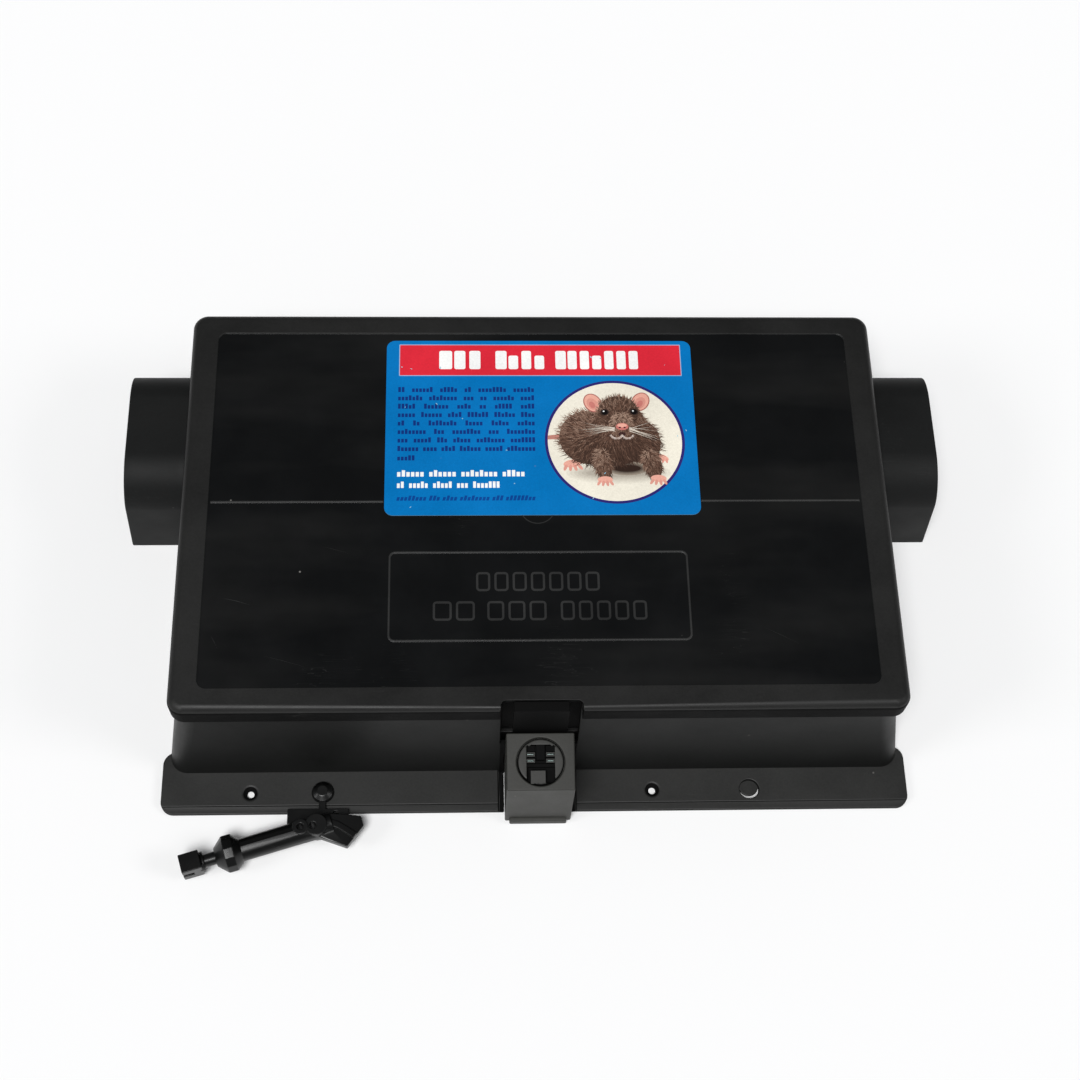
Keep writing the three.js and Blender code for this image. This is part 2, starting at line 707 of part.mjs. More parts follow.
// The barrel and cam are drawn about their own axis, with 0 at the top face of the housing.
function lockBarrel() {
  const shoulderTop = -TOWER_PLATE - GAP;
  const shoulderBottom = shoulderTop - SHOULDER_HEIGHT;
  const stemBottom = camTop + GAP;
  const top = upright(BARREL_RADIUS, 0, 0, shoulderTop - 0.1, 0, BARREL_RADIUS, 48);
  const shoulder = upright(shoulderRadius, 0, 0, shoulderBottom, shoulderTop, shoulderRadius, 48);
  const stem = upright(STEM_RADIUS, 0, 0, stemBottom, shoulderBottom + 0.1, STEM_RADIUS, 24);
  const halfX = KEY_SLOT_WIDTH / 2;
  const halfY = KEY_SLOT_DEPTH / 2;
  const slotFloor = shoulderBottom + 1;
  const windows = [];
  for (const side of [-1, 1]) {
    const x0 = Math.min(side * KEY_RIB / 2, side * halfX);
    const x1 = Math.max(side * KEY_RIB / 2, side * halfX);
    windows.push(block(x0, x1, KEY_RIB / 2, halfY - 1, slotFloor, CUT));
    windows.push(block(x0, x1, -halfY / 2 + 1, -KEY_RIB / 2, slotFloor, CUT));
  }
  const screwHole = upright(1.2, 0, 0, stemBottom - CUT, stemBottom + 3, 1.2, 12);
  return cut(join(top, shoulder, stem), ...windows, screwHole);
}

const camTop = -(BARREL_TOP + SHOULDER_HEIGHT + STEM_LENGTH + GAP);

function lockCam() {
  const outline = new THREE.Shape();
  const lean = Math.asin((STEM_RADIUS - CAM_END_RADIUS) / camReach);
  outline.absarc(0, 0, STEM_RADIUS, Math.PI + lean, 2 * Math.PI - lean, false);
  outline.absarc(0, 0, STEM_RADIUS, -lean, lean, false);
  outline.absarc(0, camReach, CAM_END_RADIUS, lean, Math.PI - lean, false);
  const arm = solid(prism(outline, camTop - CAM_THICKNESS, camTop, 8));
  const hole = upright(1.6, 0, 0, camTop - CAM_THICKNESS - CUT, camTop + CUT, 1.6, 12);
  const about = { x: 0, y: 0, z: 0 };
  const open = -THREE.MathUtils.degToRad(CAM_OPEN_TURN);
  return turned(cut(arm, hole), new THREE.Vector3(0, 0, 1), open, about);
}

function camScrew() {
  const under = camTop - CAM_THICKNESS - GAP;
  const head = upright(3.2, 0, 0, under - 1.8, under, 3.2, 20);
  const shank = upright(0.9, 0, 0, under - 0.2, camTop + GAP + 2, 0.9, 12);
  const slot = block(-3.4, 3.4, -0.45, 0.45, under - 1.8 - CUT, under - 1);
  return cut(join(head, shank), slot);
}

// ---- key and its tether ----
const keyZ = KEY_COLLAR_RADIUS;
const bow = { x: -PEG_X + 3, y: holeY - KEY_BOW_FRONT };
const strapTop = keyZ - KEY_BOSS_HEIGHT / 2 - GAP;

function along(radius, x0, x1, sides = 20, endRadius = radius) {
  const geometry = new THREE.CylinderGeometry(endRadius, radius, x1 - x0, sides);
  geometry.rotateZ(-Math.PI / 2);
  geometry.translate((x0 + x1) / 2, 0, 0);
  return solid(geometry);
}

function bowBar() {
  const curve = new THREE.CatmullRomCurve3([
    new THREE.Vector3(9, -1.5, 0),
    new THREE.Vector3(3, -0.8, 0),
    new THREE.Vector3(-2.8, 1.1, 0),
    new THREE.Vector3(-7, 5.2, 0),
    new THREE.Vector3(-10.4, 9.4, 0),
  ]);
  const section = new THREE.Shape();
  section.moveTo(-3.2, -1.5);
  section.lineTo(3.2, -1.5);
  section.lineTo(3.2, 1.5);
  section.lineTo(-3.2, 1.5);
  const bar = new THREE.ExtrudeGeometry(section, { steps: 12, bevelEnabled: false, extrudePath: curve });
  return solid(bar);
}

// Drawn with the shaft along +X, the bow at 0.
function key() {
  const start = KEY_SHAFT_LENGTH;
  const shaft = along(KEY_SHAFT_RADIUS, -2, start, 16);
  const collarStart = start - KEY_COLLAR_LENGTH + 1;
  const collarEnd = start + 1;
  const collar = along(KEY_COLLAR_RADIUS, collarStart, collarEnd, 12);
  const riseStart = collarStart - KEY_COLLAR_RISE;
  const rise = along(KEY_SHAFT_RADIUS, riseStart, collarStart, 12, KEY_COLLAR_RADIUS);
  const fallEnd = collarEnd + KEY_COLLAR_FALL;
  const fall = along(KEY_COLLAR_RADIUS, collarEnd, fallEnd, 12, KEY_SHAFT_RADIUS - 1);
  const forkEnd = start + KEY_TIP;
  const forkStart = forkEnd - KEY_TIP_LENGTH;
  const neck = along(KEY_NECK_RADIUS, fallEnd - 1.5, forkStart + 1, 14);
  const shoulder = along(KEY_SHOULDER_RADIUS, forkStart - 1.5, forkStart + 1, 14);
  const halfFork = KEY_FORK_WIDTH / 2;
  const halfThick = KEY_FORK_THICKNESS / 2;
  const fork = block(forkStart, forkEnd, -halfThick, halfThick, -halfFork, halfFork);
  const halfRib = KEY_RIB / 2 + GAP;
  const slotStart = forkEnd - KEY_TIP_SLOT;
  const slot = block(slotStart, forkEnd + CUT, -halfThick - CUT, halfThick + CUT, -halfRib, halfRib);
  const through = 2 * KEY_SHAFT_RADIUS;
  const eyeTop = KEY_SHAFT_RADIUS + 0.8;
  const eye = upright(KEY_EYE_RADIUS, KEY_EYE_X, -1, 2, eyeTop, KEY_EYE_RADIUS, 20);
  const eyeHole = upright(KEY_EYE_HOLE, KEY_EYE_X, -1, -through, through, KEY_EYE_HOLE, 12);
  const bossTop = KEY_BOSS_HEIGHT / 2 + KEY_BOSS_RISE;
  const boss = upright(KEY_BOSS_RADIUS, KEY_BOSS_X, 0, -KEY_BOSS_HEIGHT / 2, bossTop, KEY_BOSS_RADIUS, 24);
  const bossHole = upright(KEY_BOSS_HOLE, KEY_BOSS_HOLE_X, 0, -through, through, KEY_BOSS_HOLE, 12);
  const body = join(shaft, collar, rise, fall, neck, shoulder, fork, bowBar(), bowBlade(), eye, boss);
  return cut(body, slot, eyeHole, bossHole);
}

function bowBlade() {
  const outline = new THREE.Shape(BOW_BLADE.map(([x, y]) => new THREE.Vector2(x, y)));
  return solid(prism(outline, -BOW_THICKNESS / 2, BOW_THICKNESS / 2));
}

function keyTether() {
  const x = -PEG_X;
  const capBottom = FLANGE_THICKNESS + GAP;
  const stemRadius = PEG_HOLE / 2 - GAP;
  const stem = upright(stemRadius, x, holeY, GAP, capBottom + 0.1, stemRadius, 20);
  const capRadius = PEG_HOLE / 2 + TETHER_CAP_RIM;
  const domeFoot = capRadius - TETHER_CAP_RIM;
  const capTop = capBottom + TETHER_CAP_HEIGHT;
  const cap = upright(capRadius, x, holeY, capBottom, capTop, domeFoot, 24);
  const domeTop = capTop + TETHER_DOME_HEIGHT;
  const dome = upright(domeFoot, x, holeY, capTop - 0.1, domeTop, TETHER_DOME_RADIUS, 24);
  const strapEnd = bow.y + KEY_SHAFT_RADIUS + GAP;
  const halfStrap = STRAP_WIDTH / 2;
  const strap = block(x - halfStrap, x + halfStrap, strapEnd, holeY, capBottom, strapTop);
  const corners = TETHER_PAD.map(([padX, padY]) => new THREE.Vector2(x + padX, strapEnd + padY));
  const outline = new THREE.Shape(corners);
  const pad = solid(prism(outline, capBottom, strapTop));
  const holeX = x + TETHER_PAD_HOLE.x;
  const hole = strapEnd + TETHER_PAD_HOLE.y;
  const padHole = upright(TETHER_PAD_HOLE.radius, holeX, hole, capBottom - CUT, strapTop + CUT);
  return cut(join(cap, stem, dome, strap, pad), padHole);
}

// ---- bait tray and rods ----
function baitTray() {
  const halfX = TRAY_LENGTH / 2;
  const halfY = trayDepth / 2;
  const z0 = floorTop;
  const outer = prism(roundedOutline(halfX, halfY, TRAY_CORNER), z0, z0 + TRAY_HEIGHT, 4);
  const innerCorner = TRAY_CORNER - TRAY_WALL;
  const innerOutline = roundedOutline(halfX - TRAY_WALL, halfY - TRAY_WALL, innerCorner);
  const inner = prism(innerOutline, z0 + TRAY_WALL, z0 + TRAY_HEIGHT + CUT, 4);
  outer.translate(0, trayY, 0);
  inner.translate(0, trayY, 0);
  return cut(solid(outer), solid(inner));
}

function trayDivider() {
  const half = trayDepth / 2 - TRAY_WALL - GAP;
  const z0 = floorTop + TRAY_WALL + GAP;
  return block(-1, 1, trayY - half, trayY + half, z0, floorTop + TRAY_HEIGHT - DIVIDER_DROP);
}

function rodBracket(side) {
  const x0 = side * bracketX - BRACKET_THICKNESS / 2;
  const x1 = x0 + BRACKET_THICKNESS;
  const half = ROD_SPACING / 2 + BRACKET_REACH;
  const z0 = floorTop + TRAY_WALL + GAP;
  const top = ROD_Z + BRACKET_ABOVE_ROD;
  const plate = block(x0, x1, trayY - half, trayY + half, z0, top);
  const pad = block(x0 - BRACKET_FOOT, x1 + BRACKET_FOOT, trayY - half, trayY + half, z0, z0 + 2);
  const notches = [];
  const slotHalf = ROD_RADIUS + GAP;
  for (const y of rodYs) {
    notches.push(crosswise(slotHalf, x0 - CUT, x1 + CUT, y, ROD_Z, 20));
    notches.push(block(x0 - CUT, x1 + CUT, y - slotHalf, y + slotHalf, ROD_Z, top + CUT));
  }
  const middle = ROD_SPACING / 2 - slotHalf - 4;
  const dip = ROD_Z - BRACKET_ABOVE_ROD;
  notches.push(block(x0 - CUT, x1 + CUT, trayY - middle, trayY + middle, dip, top + CUT));
  return cut(join(plate, pad), ...notches);
}

function baitRod(y) {
  const end = bracketX + ROD_OVERHANG;
  const rod = crosswise(ROD_RADIUS, -end, end, y, ROD_Z, 14);
  const hook = upright(ROD_RADIUS, end, y, ROD_Z - ROD_HOOK, ROD_Z, ROD_RADIUS, 14);
  const knee = new THREE.SphereGeometry(ROD_RADIUS * 1.02, 14, 10);
  knee.translate(end, y, ROD_Z);
  return join(rod, hook, solid(knee));
}

// ---- baffles on the floor rails ----
function baffle(side) {
  const y0 = baffleY - BAFFLE_THICKNESS / 2;
  const end = tunnelInnerX - 1;
  const start = BAFFLE_GATE + BAFFLE_THICKNESS / 2 + GAP;
  const x0 = Math.min(side * start, side * end);
  const x1 = Math.max(side * start, side * end);
  return block(x0, x1, y0, y0 + BAFFLE_THICKNESS, floorTop, baffleTop);
}

function runwayBaffle(side) {
  const x0 = side * BAFFLE_GATE - BAFFLE_THICKNESS / 2;
  const y0 = baffleY - BAFFLE_THICKNESS / 2;
  return block(x0, x0 + BAFFLE_THICKNESS, y0, y0 + RUNWAY_BAFFLE_DEPTH, floorTop, baffleTop);
}

// ---- assembly ----
const sides = [['left', -1], ['right', 1]];

add('base', base(), plastics.base);
add('lid', lid(), plastics.lid);
add('label', label(), plastics.label);
add('lid_keeper', keeper(), plastics.lid);
add('lock_housing', lockHousing(), plastics.lock);
add('bait_tray', baitTray(), plastics.tray);
add('tray_divider', trayDivider(), plastics.tray);
add('bait_rod_front', baitRod(rodYs[0]), steel);
add('bait_rod_rear', baitRod(rodYs[1]), steel);
add('key_tether', keyTether(), plastics.key);

const sleeve = tunnelSleeve();
const collar = tunnelCollar();
for (const [name, side] of sides) {
  add(`entry_tunnel_${name}`, side < 0 ? mirrored(sleeve) : sleeve, plastics.base);
  add(`tunnel_collar_${name}`, side < 0 ? mirrored(collar) : collar, plastics.base);
  add(`hinge_pin_${name}`, hingePin(side < 0 ? HINGE_XS[0] : HINGE_XS[1]), steel);
  add(`keeper_screw_${name}`, keeperScrew(side), steel);
  add(`rod_bracket_${name}`, rodBracket(side), plastics.tray);
  add(`baffle_${name}`, baffle(side), plastics.tray);
  add(`runway_baffle_${name}`, runwayBaffle(side), plastics.tray);
}

const lockGroup = new THREE.Group();
lockGroup.position.set(0, barrelY, barrelZ);
lockGroup.rotation.x = tilt;
add('lock_barrel', lockBarrel(), plastics.lock, lockGroup);
add('lock_cam', lockCam(), plastics.lock, lockGroup);
add('lock_cam_screw', camScrew(), steel, lockGroup);
model.add(lockGroup);

const keyGroup = new THREE.Group();
keyGroup.position.set(bow.x, bow.y, keyZ);
keyGroup.rotation.z = Math.PI + THREE.MathUtils.degToRad(KEY_TURN);
add('key', key(), plastics.key, keyGroup);
model.add(keyGroup);

export default model;
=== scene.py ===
"""Rodent bait station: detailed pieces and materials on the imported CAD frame. Metres, +Z up."""
import json
import math
import random

import bmesh
import bpy
from mathutils import Matrix, Vector


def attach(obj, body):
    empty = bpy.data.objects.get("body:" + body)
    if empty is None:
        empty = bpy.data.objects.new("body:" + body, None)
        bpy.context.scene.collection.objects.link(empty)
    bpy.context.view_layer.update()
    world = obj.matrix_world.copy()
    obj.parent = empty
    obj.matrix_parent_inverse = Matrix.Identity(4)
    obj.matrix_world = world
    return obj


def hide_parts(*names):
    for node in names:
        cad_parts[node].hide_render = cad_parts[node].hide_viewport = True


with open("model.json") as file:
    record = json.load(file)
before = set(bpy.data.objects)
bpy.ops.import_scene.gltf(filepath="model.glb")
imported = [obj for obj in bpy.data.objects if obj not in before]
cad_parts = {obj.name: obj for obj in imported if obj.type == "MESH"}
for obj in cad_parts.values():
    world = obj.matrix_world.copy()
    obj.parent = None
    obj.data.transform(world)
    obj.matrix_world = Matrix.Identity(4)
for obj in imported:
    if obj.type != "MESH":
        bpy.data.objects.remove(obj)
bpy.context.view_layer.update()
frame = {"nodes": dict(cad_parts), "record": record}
nodes = frame["nodes"]
record = frame["record"]
scene = bpy.context.scene
scene.view_settings.view_transform = "Standard"

MM = 0.001
NODE_BODY = {node: body for body, members in record["behaviour"]["bodies"].items() for node in members}
NODE_SLOT = {part["node"]: part["material_slot"] for part in record["subparts"]}

# ---- camera, floor and lights ----
CAMERA_PLACE = Vector((-33.1, -366.0, 790.7)) * MM
CAMERA_PITCH = math.radians(64.06)
CAMERA_YAW = math.radians(5.575)
CAMERA_ROLL = math.radians(4.798)
FOCAL_PER_WIDTH = 1.6524074074074075
SENSOR = 36.0
FLOOR_HALF = 4.0
FLOOR_DROP = 0.0003
FLOOR_COLOR = (0.92, 0.92, 0.92, 1)
ROOM_COLOR = (0.95, 0.97, 1.0, 1)
ROOM_STRENGTH = 0.14
LIGHTS = (
    ("key_light", (-0.3, -0.85, 1.9), 2.75, 24),
    ("left_light", (-1.6, -0.5, 1.2), 0.4, 20),
    ("right_light", (1.6, -0.4, 1.2), 0.4, 20),
)


def make_camera():
    data = bpy.data.cameras.new("camera")
    data.sensor_width = SENSOR
    data.lens = SENSOR * FOCAL_PER_WIDTH
    data.clip_start = 0.02
    data.clip_end = 20
    camera = bpy.data.objects.new("camera", data)
    scene.collection.objects.link(camera)
    level = math.cos(CAMERA_PITCH)
    ahead = Vector((math.sin(CAMERA_YAW) * level, math.cos(CAMERA_YAW) * level, -math.sin(CAMERA_PITCH)))
    right = Vector((math.cos(CAMERA_YAW), -math.sin(CAMERA_YAW), 0))
    up = right.cross(ahead)
    rolled_right = math.cos(CAMERA_ROLL) * right + math.sin(CAMERA_ROLL) * up
    rolled_up = -math.sin(CAMERA_ROLL) * right + math.cos(CAMERA_ROLL) * up
    turn = Matrix((rolled_right, rolled_up, -ahead)).transposed()
    camera.matrix_world = Matrix.Translation(CAMERA_PLACE) @ turn.to_4x4()
    scene.camera = camera


def sun(name, towards, power, spread):
    """A broad, even light that arrives from the given direction."""
    data = bpy.data.lights.new(name, "SUN")
    data.energy = power
    data.angle = math.radians(spread)
    lamp = bpy.data.objects.new(name, data)
    lamp.location = Vector(towards)
    lamp.rotation_euler = Vector(towards).to_track_quat("Z", "Y").to_euler()
    scene.collection.objects.link(lamp)


def make_stage():
    mesh = bpy.data.meshes.new("floor")
    half, low = FLOOR_HALF, -FLOOR_DROP
    corners = [(-half, -half, low), (half, -half, low), (half, half, low), (-half, half, low)]
    mesh.from_pydata(corners, [], [(0, 1, 2, 3)])
    paper = bpy.data.materials.new("floor_paper")
    paper.use_nodes = True
    shader = paper.node_tree.nodes["Principled BSDF"]
    shader.inputs["Base Color"].default_value = FLOOR_COLOR
    shader.inputs["Roughness"].default_value = 0.9
    mesh.materials.append(paper)
    stage = bpy.data.objects.new("floor", mesh)
    scene.collection.objects.link(stage)
    world = bpy.data.worlds.new("room")
    world.use_nodes = True
    world.node_tree.nodes["Background"].inputs["Color"].default_value = ROOM_COLOR
    world.node_tree.nodes["Background"].inputs["Strength"].default_value = ROOM_STRENGTH
    scene.world = world
    for light in LIGHTS:
        sun(*light)


# ---- shader groups ----
def new_group(name, inputs, outputs):
    group = bpy.data.node_groups.new(name, "ShaderNodeTree")
    for label, kind, value in inputs:
        socket = group.interface.new_socket(label, in_out="INPUT", socket_type=kind)
        socket.default_value = value
    for label, kind in outputs:
        group.interface.new_socket(label, in_out="OUTPUT", socket_type=kind)
    return group, group.nodes.new("NodeGroupInput"), group.nodes.new("NodeGroupOutput")


def noise(tree, coordinates, scale, detail=3.0, rough=0.55, stretch=None, turn=0.0):
    node = tree.nodes.new("ShaderNodeTexNoise")
    if isinstance(scale, (int, float)):
        node.inputs["Scale"].default_value = scale
    else:
        tree.links.new(scale, node.inputs["Scale"])
    node.inputs["Detail"].default_value = detail
    node.inputs["Roughness"].default_value = rough
    if stretch:
        mapping = tree.nodes.new("ShaderNodeMapping")
        mapping.inputs["Scale"].default_value = stretch
        mapping.inputs["Rotation"].default_value = (0, 0, math.radians(turn))
        tree.links.new(coordinates, mapping.inputs["Vector"])
        coordinates = mapping.outputs["Vector"]
    tree.links.new(coordinates, node.inputs["Vector"])
    return node.outputs["Fac"]


def remap(tree, value, low, high, to_low=0.0, to_high=1.0):
    node = tree.nodes.new("ShaderNodeMapRange")
    tree.links.new(value, node.inputs["Value"])
    for label, given in (("From Min", low), ("From Max", high), ("To Min", to_low), ("To Max", to_high)):
        if isinstance(given, (int, float)):
            node.inputs[label].default_value = given
        else:
            tree.links.new(given, node.inputs[label])
    return node.outputs["Result"]


def arithmetic(tree, operation, first, second):
    node = tree.nodes.new("ShaderNodeMath")
    node.operation = operation
    for socket, given in zip(node.inputs, (first, second)):
        if isinstance(given, (int, float)):
            socket.default_value = given
        else:
            tree.links.new(given, socket)
    return node.outputs["Value"]


MIX_FACTOR, MIX_FIRST, MIX_SECOND = 0, 6, 7
MIX_COLOR = 2
SCRATCH_COLOR = (0.16, 0.16, 0.155, 1)
DUST_COLOR = (0.3, 0.29, 0.27, 1)
SCRATCH_LINES = (
    (34.0, (1.0, 16.0, 6.0), 24.0),
    (41.0, (1.0, 13.0, 6.0), -37.0),
)


def cover_color(tree, factor, under, over):
    """Mixes a fixed colour over another one, by a linked factor."""
    node = tree.nodes.new("ShaderNodeMix")
    node.data_type = "RGBA"
    tree.links.new(factor, node.inputs[MIX_FACTOR])
    tree.links.new(under, node.inputs[MIX_FIRST])
    node.inputs[MIX_SECOND].default_value = over
    return node.outputs[MIX_COLOR]


def build_moulded_group():
    """Moulded plastic: spark-eroded grain, cloudy gloss, fine scratches and settled dust."""
    group, given, result = new_group(
        "moulded_surface",
        [
            ("Color", "NodeSocketColor", (0.02, 0.02, 0.02, 1)),
            ("Roughness", "NodeSocketFloat", 0.5),
            ("Grain Scale", "NodeSocketFloat", 2500.0),
            ("Grain", "NodeSocketFloat", 0.5),
            ("Mottle", "NodeSocketFloat", 0.3),
            ("Scratches", "NodeSocketFloat", 0.3),
            ("Dust", "NodeSocketFloat", 0.3),
        ],
        [("Color", "NodeSocketColor"), ("Roughness", "NodeSocketFloat"), ("Height", "NodeSocketFloat")],
    )
    place = group.nodes.new("ShaderNodeTexCoord").outputs["Object"]
    grain = noise(group, place, given.outputs["Grain Scale"], 2.0, 0.6)
    cloud = noise(group, place, 28.0, 4.0, 0.6)
    streak = noise(group, place, 9.0, 3.0, 0.5, (1.0, 4.0, 4.0))
    mottled = remap(group, cloud, 0.3, 0.7, -0.5, 0.5)
    amount = arithmetic(group, "MULTIPLY", mottled, given.outputs["Mottle"])
    speckle = remap(group, noise(group, place, 1100.0, 2.0, 0.7), 0.3, 0.7, -0.22, 0.22)
    speckle = arithmetic(group, "MULTIPLY", speckle, given.outputs["Grain"])
    amount = arithmetic(group, "ADD", amount, speckle)
    lighter = arithmetic(group, "ADD", 1.0, amount)
    lines = []
    for scale, stretch, turn in SCRATCH_LINES:
        wave = noise(group, place, scale, 1.5, 0.4, stretch, turn)
        away = arithmetic(group, "ABSOLUTE", arithmetic(group, "SUBTRACT", wave, 0.5), 0)
        lines.append(remap(group, away, 0.0, 0.004, 1, 0))
    patches = remap(group, noise(group, place, 21.0, 2.0), 0.6, 0.68)
    marks = arithmetic(group, "MULTIPLY", arithmetic(group, "MAXIMUM", lines[0], lines[1]), patches)
    marks = arithmetic(group, "MULTIPLY", marks, given.outputs["Scratches"])
    specks = group.nodes.new("ShaderNodeTexVoronoi")
    specks.inputs["Scale"].default_value = 95.0
    group.links.new(place, specks.inputs["Vector"])
    chosen = group.nodes.new("ShaderNodeSeparateColor")
    group.links.new(specks.outputs["Color"], chosen.inputs["Color"])
    dots = remap(group, specks.outputs["Distance"], 0.03, 0.06, 1.0, 0.0)
    dots = arithmetic(group, "MULTIPLY", dots, remap(group, chosen.outputs["Red"], 0.86, 0.88))
    film = arithmetic(group, "MULTIPLY", remap(group, streak, 0.45, 0.8), 0.035)
    dust = arithmetic(group, "MAXIMUM", dots, film)
    dust = arithmetic(group, "MULTIPLY", dust, given.outputs["Dust"])
    scaled = group.nodes.new("ShaderNodeVectorMath")
    scaled.operation = "SCALE"
    group.links.new(given.outputs["Color"], scaled.inputs[0])
    group.links.new(lighter, scaled.inputs["Scale"])
    worn = arithmetic(group, "MULTIPLY", marks, 0.35)
    scratched = cover_color(group, worn, scaled.outputs["Vector"], SCRATCH_COLOR)
    dusty = cover_color(group, dust, scratched, DUST_COLOR)
    group.links.new(dusty, result.inputs["Color"])
    cloudy = arithmetic(group, "MULTIPLY", mottled, 0.16)
    rough = arithmetic(group, "ADD", given.outputs["Roughness"], cloudy)
    rough = arithmetic(group, "ADD", rough, arithmetic(group, "MULTIPLY", dust, 0.3))
    group.links.new(rough, result.inputs["Roughness"])
    height = arithmetic(group, "MULTIPLY", grain, given.outputs["Grain"])
    height = arithmetic(group, "SUBTRACT", height, arithmetic(group, "MULTIPLY", marks, 0.6))
    group.links.new(height, result.inputs["Height"])
    return group


moulded_surface = build_moulded_group()


def plastic(name, color, roughness, grain_scale, grain, mottle, scratches, dust, bump, specular):
    """A moulded plastic; bump is the depth of its grain in millimetres."""
    material = bpy.data.materials.new(name)
    material.use_nodes = True
    tree = material.node_tree
    shader = tree.nodes["Principled BSDF"]
    shader.inputs["Specular IOR Level"].default_value = specular
    surface = tree.nodes.new("ShaderNodeGroup")
    surface.node_tree = moulded_surface
    surface.inputs["Color"].default_value = (*color, 1)
    surface.inputs["Roughness"].default_value = roughness
    surface.inputs["Grain Scale"].default_value = grain_scale
    surface.inputs["Grain"].default_value = grain
    surface.inputs["Mottle"].default_value = mottle
    surface.inputs["Scratches"].default_value = scratches
    surface.inputs["Dust"].default_value = dust
    relief = tree.nodes.new("ShaderNodeBump")
    relief.inputs["Strength"].default_value = 1.0
    relief.inputs["Distance"].default_value = bump * MM
    tree.links.new(surface.outputs["Color"], shader.inputs["Base Color"])
    tree.links.new(surface.outputs["Roughness"], shader.inputs["Roughness"])
    tree.links.new(surface.outputs["Height"], relief.inputs["Height"])
    tree.links.new(relief.outputs["Normal"], shader.inputs["Normal"])
    return material


def metal(name, color, roughness):
    material = bpy.data.materials.new(name)
    material.use_nodes = True
    tree = material.node_tree
    shader = tree.nodes["Principled BSDF"]
    shader.inputs["Metallic"].default_value = 1.0
    place = tree.nodes.new("ShaderNodeTexCoord").outputs["Object"]
    grain = noise(tree, place, 700.0, 3.0, 0.6, (0.06, 1.0, 1.0))
    stain = noise(tree, place, 120.0, 4.0, 0.6)
    tone = remap(tree, stain, 0.3, 0.7, 0.75, 1.1)
    scaled = tree.nodes.new("ShaderNodeVectorMath")
    scaled.operation = "SCALE"
    scaled.inputs[0].default_value = color
    tree.links.new(tone, scaled.inputs["Scale"])
    tree.links.new(scaled.outputs["Vector"], shader.inputs["Base Color"])
    brushed = remap(tree, grain, 0.2, 0.8, roughness - 0.1, roughness + 0.12)
    tree.links.new(brushed, shader.inputs["Roughness"])
    relief = tree.nodes.new("ShaderNodeBump")
    relief.inputs["Distance"].default_value = 0.02 * MM
    tree.links.new(grain, relief.inputs["Height"])
    tree.links.new(relief.outputs["Normal"], shader.inputs["Normal"])
    return material


def vinyl(name):
    """Printed film: the ink attribute, slightly uneven, under a thin gloss."""
    material = bpy.data.materials.new(name)
    material.use_nodes = True
    tree = material.node_tree
    shader = tree.nodes["Principled BSDF"]
    ink = tree.nodes.new("ShaderNodeAttribute")
    ink.attribute_name = "ink"
    place = tree.nodes.new("ShaderNodeTexCoord").outputs["Object"]
    surface = tree.nodes.new("ShaderNodeGroup")
    surface.node_tree = moulded_surface
    surface.inputs["Roughness"].default_value = 0.36
    surface.inputs["Grain Scale"].default_value = 1800.0
    surface.inputs["Grain"].default_value = 0.3
    surface.inputs["Mottle"].default_value = 0.16
    surface.inputs["Scratches"].default_value = 0.2
    surface.inputs["Dust"].default_value = 0.12
    tree.links.new(ink.outputs["Color"], surface.inputs["Color"])
    tree.links.new(surface.outputs["Color"], shader.inputs["Base Color"])
    tree.links.new(surface.outputs["Roughness"], shader.inputs["Roughness"])
    shader.inputs["Specular IOR Level"].default_value = 0.16
    relief = tree.nodes.new("ShaderNodeBump")
    relief.inputs["Distance"].default_value = 0.02 * MM
    height = noise(tree, place, 160.0, 3.0)
    tree.links.new(height, relief.inputs["Height"])
    tree.links.new(relief.outputs["Normal"], shader.inputs["Normal"])
    return material


# Colour, roughness, grain scale, grain, mottle, scratches, dust, bump, specular.
PLASTICS = {
    "lid_border_black": ((0.0088, 0.0088, 0.0085), 0.48, 2300, 0.9, 0.25, 0.2, 0.25, 0.05, 0.3),
    # Darker than the border black: painted shade on the lid's steep skirt under the brim.
    "lid_skirt_painted_shade": ((0.0017, 0.0017, 0.0017), 0.65, 2300, 0.9, 0.25, 0.2, 0.0, 0.05, 0.06),
    "lid_panel_gloss": ((0.0034, 0.0037, 0.004), 0.28, 3800, 0.15, 0.3, 0.3, 0.7, 0.012, 0.22),
    # The base's walls and upward flange faces are one plastic: walls painted darker as shade, flange
    # painted lighter as lit from above.
    "base_walls_painted_shade": ((0.0062, 0.0065, 0.0062), 0.5, 2400, 0.8, 0.3, 0.25, 0.2, 0.05, 0.17),
    "flange_painted_light": ((0.0142, 0.0144, 0.0137), 0.52, 2400, 0.9, 0.25, 0.25, 0.3, 0.05, 0.4),
    "lid_raised_lines": ((0.014, 0.0142, 0.014), 0.45, 2600, 0.5, 0.4, 0.3, 0.9, 0.03, 0.5),
    "tunnel_black": ((0.0062, 0.0066, 0.0066), 0.6, 2400, 0.7, 0.3, 0.2, 0.2, 0.05, 0.18),
    "lock_grey": ((0.026, 0.026, 0.0228), 0.55, 2600, 0.7, 0.2, 0.3, 0.25, 0.04, 0.38),
    "barrel_grey": ((0.0235, 0.0235, 0.021), 0.5, 2600, 0.6, 0.2, 0.4, 0.2, 0.04, 0.38),
    "key_black": ((0.0026, 0.0027, 0.0027), 0.3, 3000, 0.4, 0.3, 0.3, 0.15, 0.03, 0.36),
    # Near-black painted shade for the lock recess, screw holes, key-slot pocket and lid keeper.
    "painted_shade_black": ((0.0018, 0.0018, 0.0018), 0.75, 2400, 0.6, 0.3, 0.2, 0.1, 0.03, 0.1),
    "inner_black": ((0.018, 0.018, 0.018), 0.55, 2400, 0.7, 0.3, 0.35, 0.5, 0.05, 0.5),
}
looks = {name: plastic(name, *values) for name, values in PLASTICS.items()}
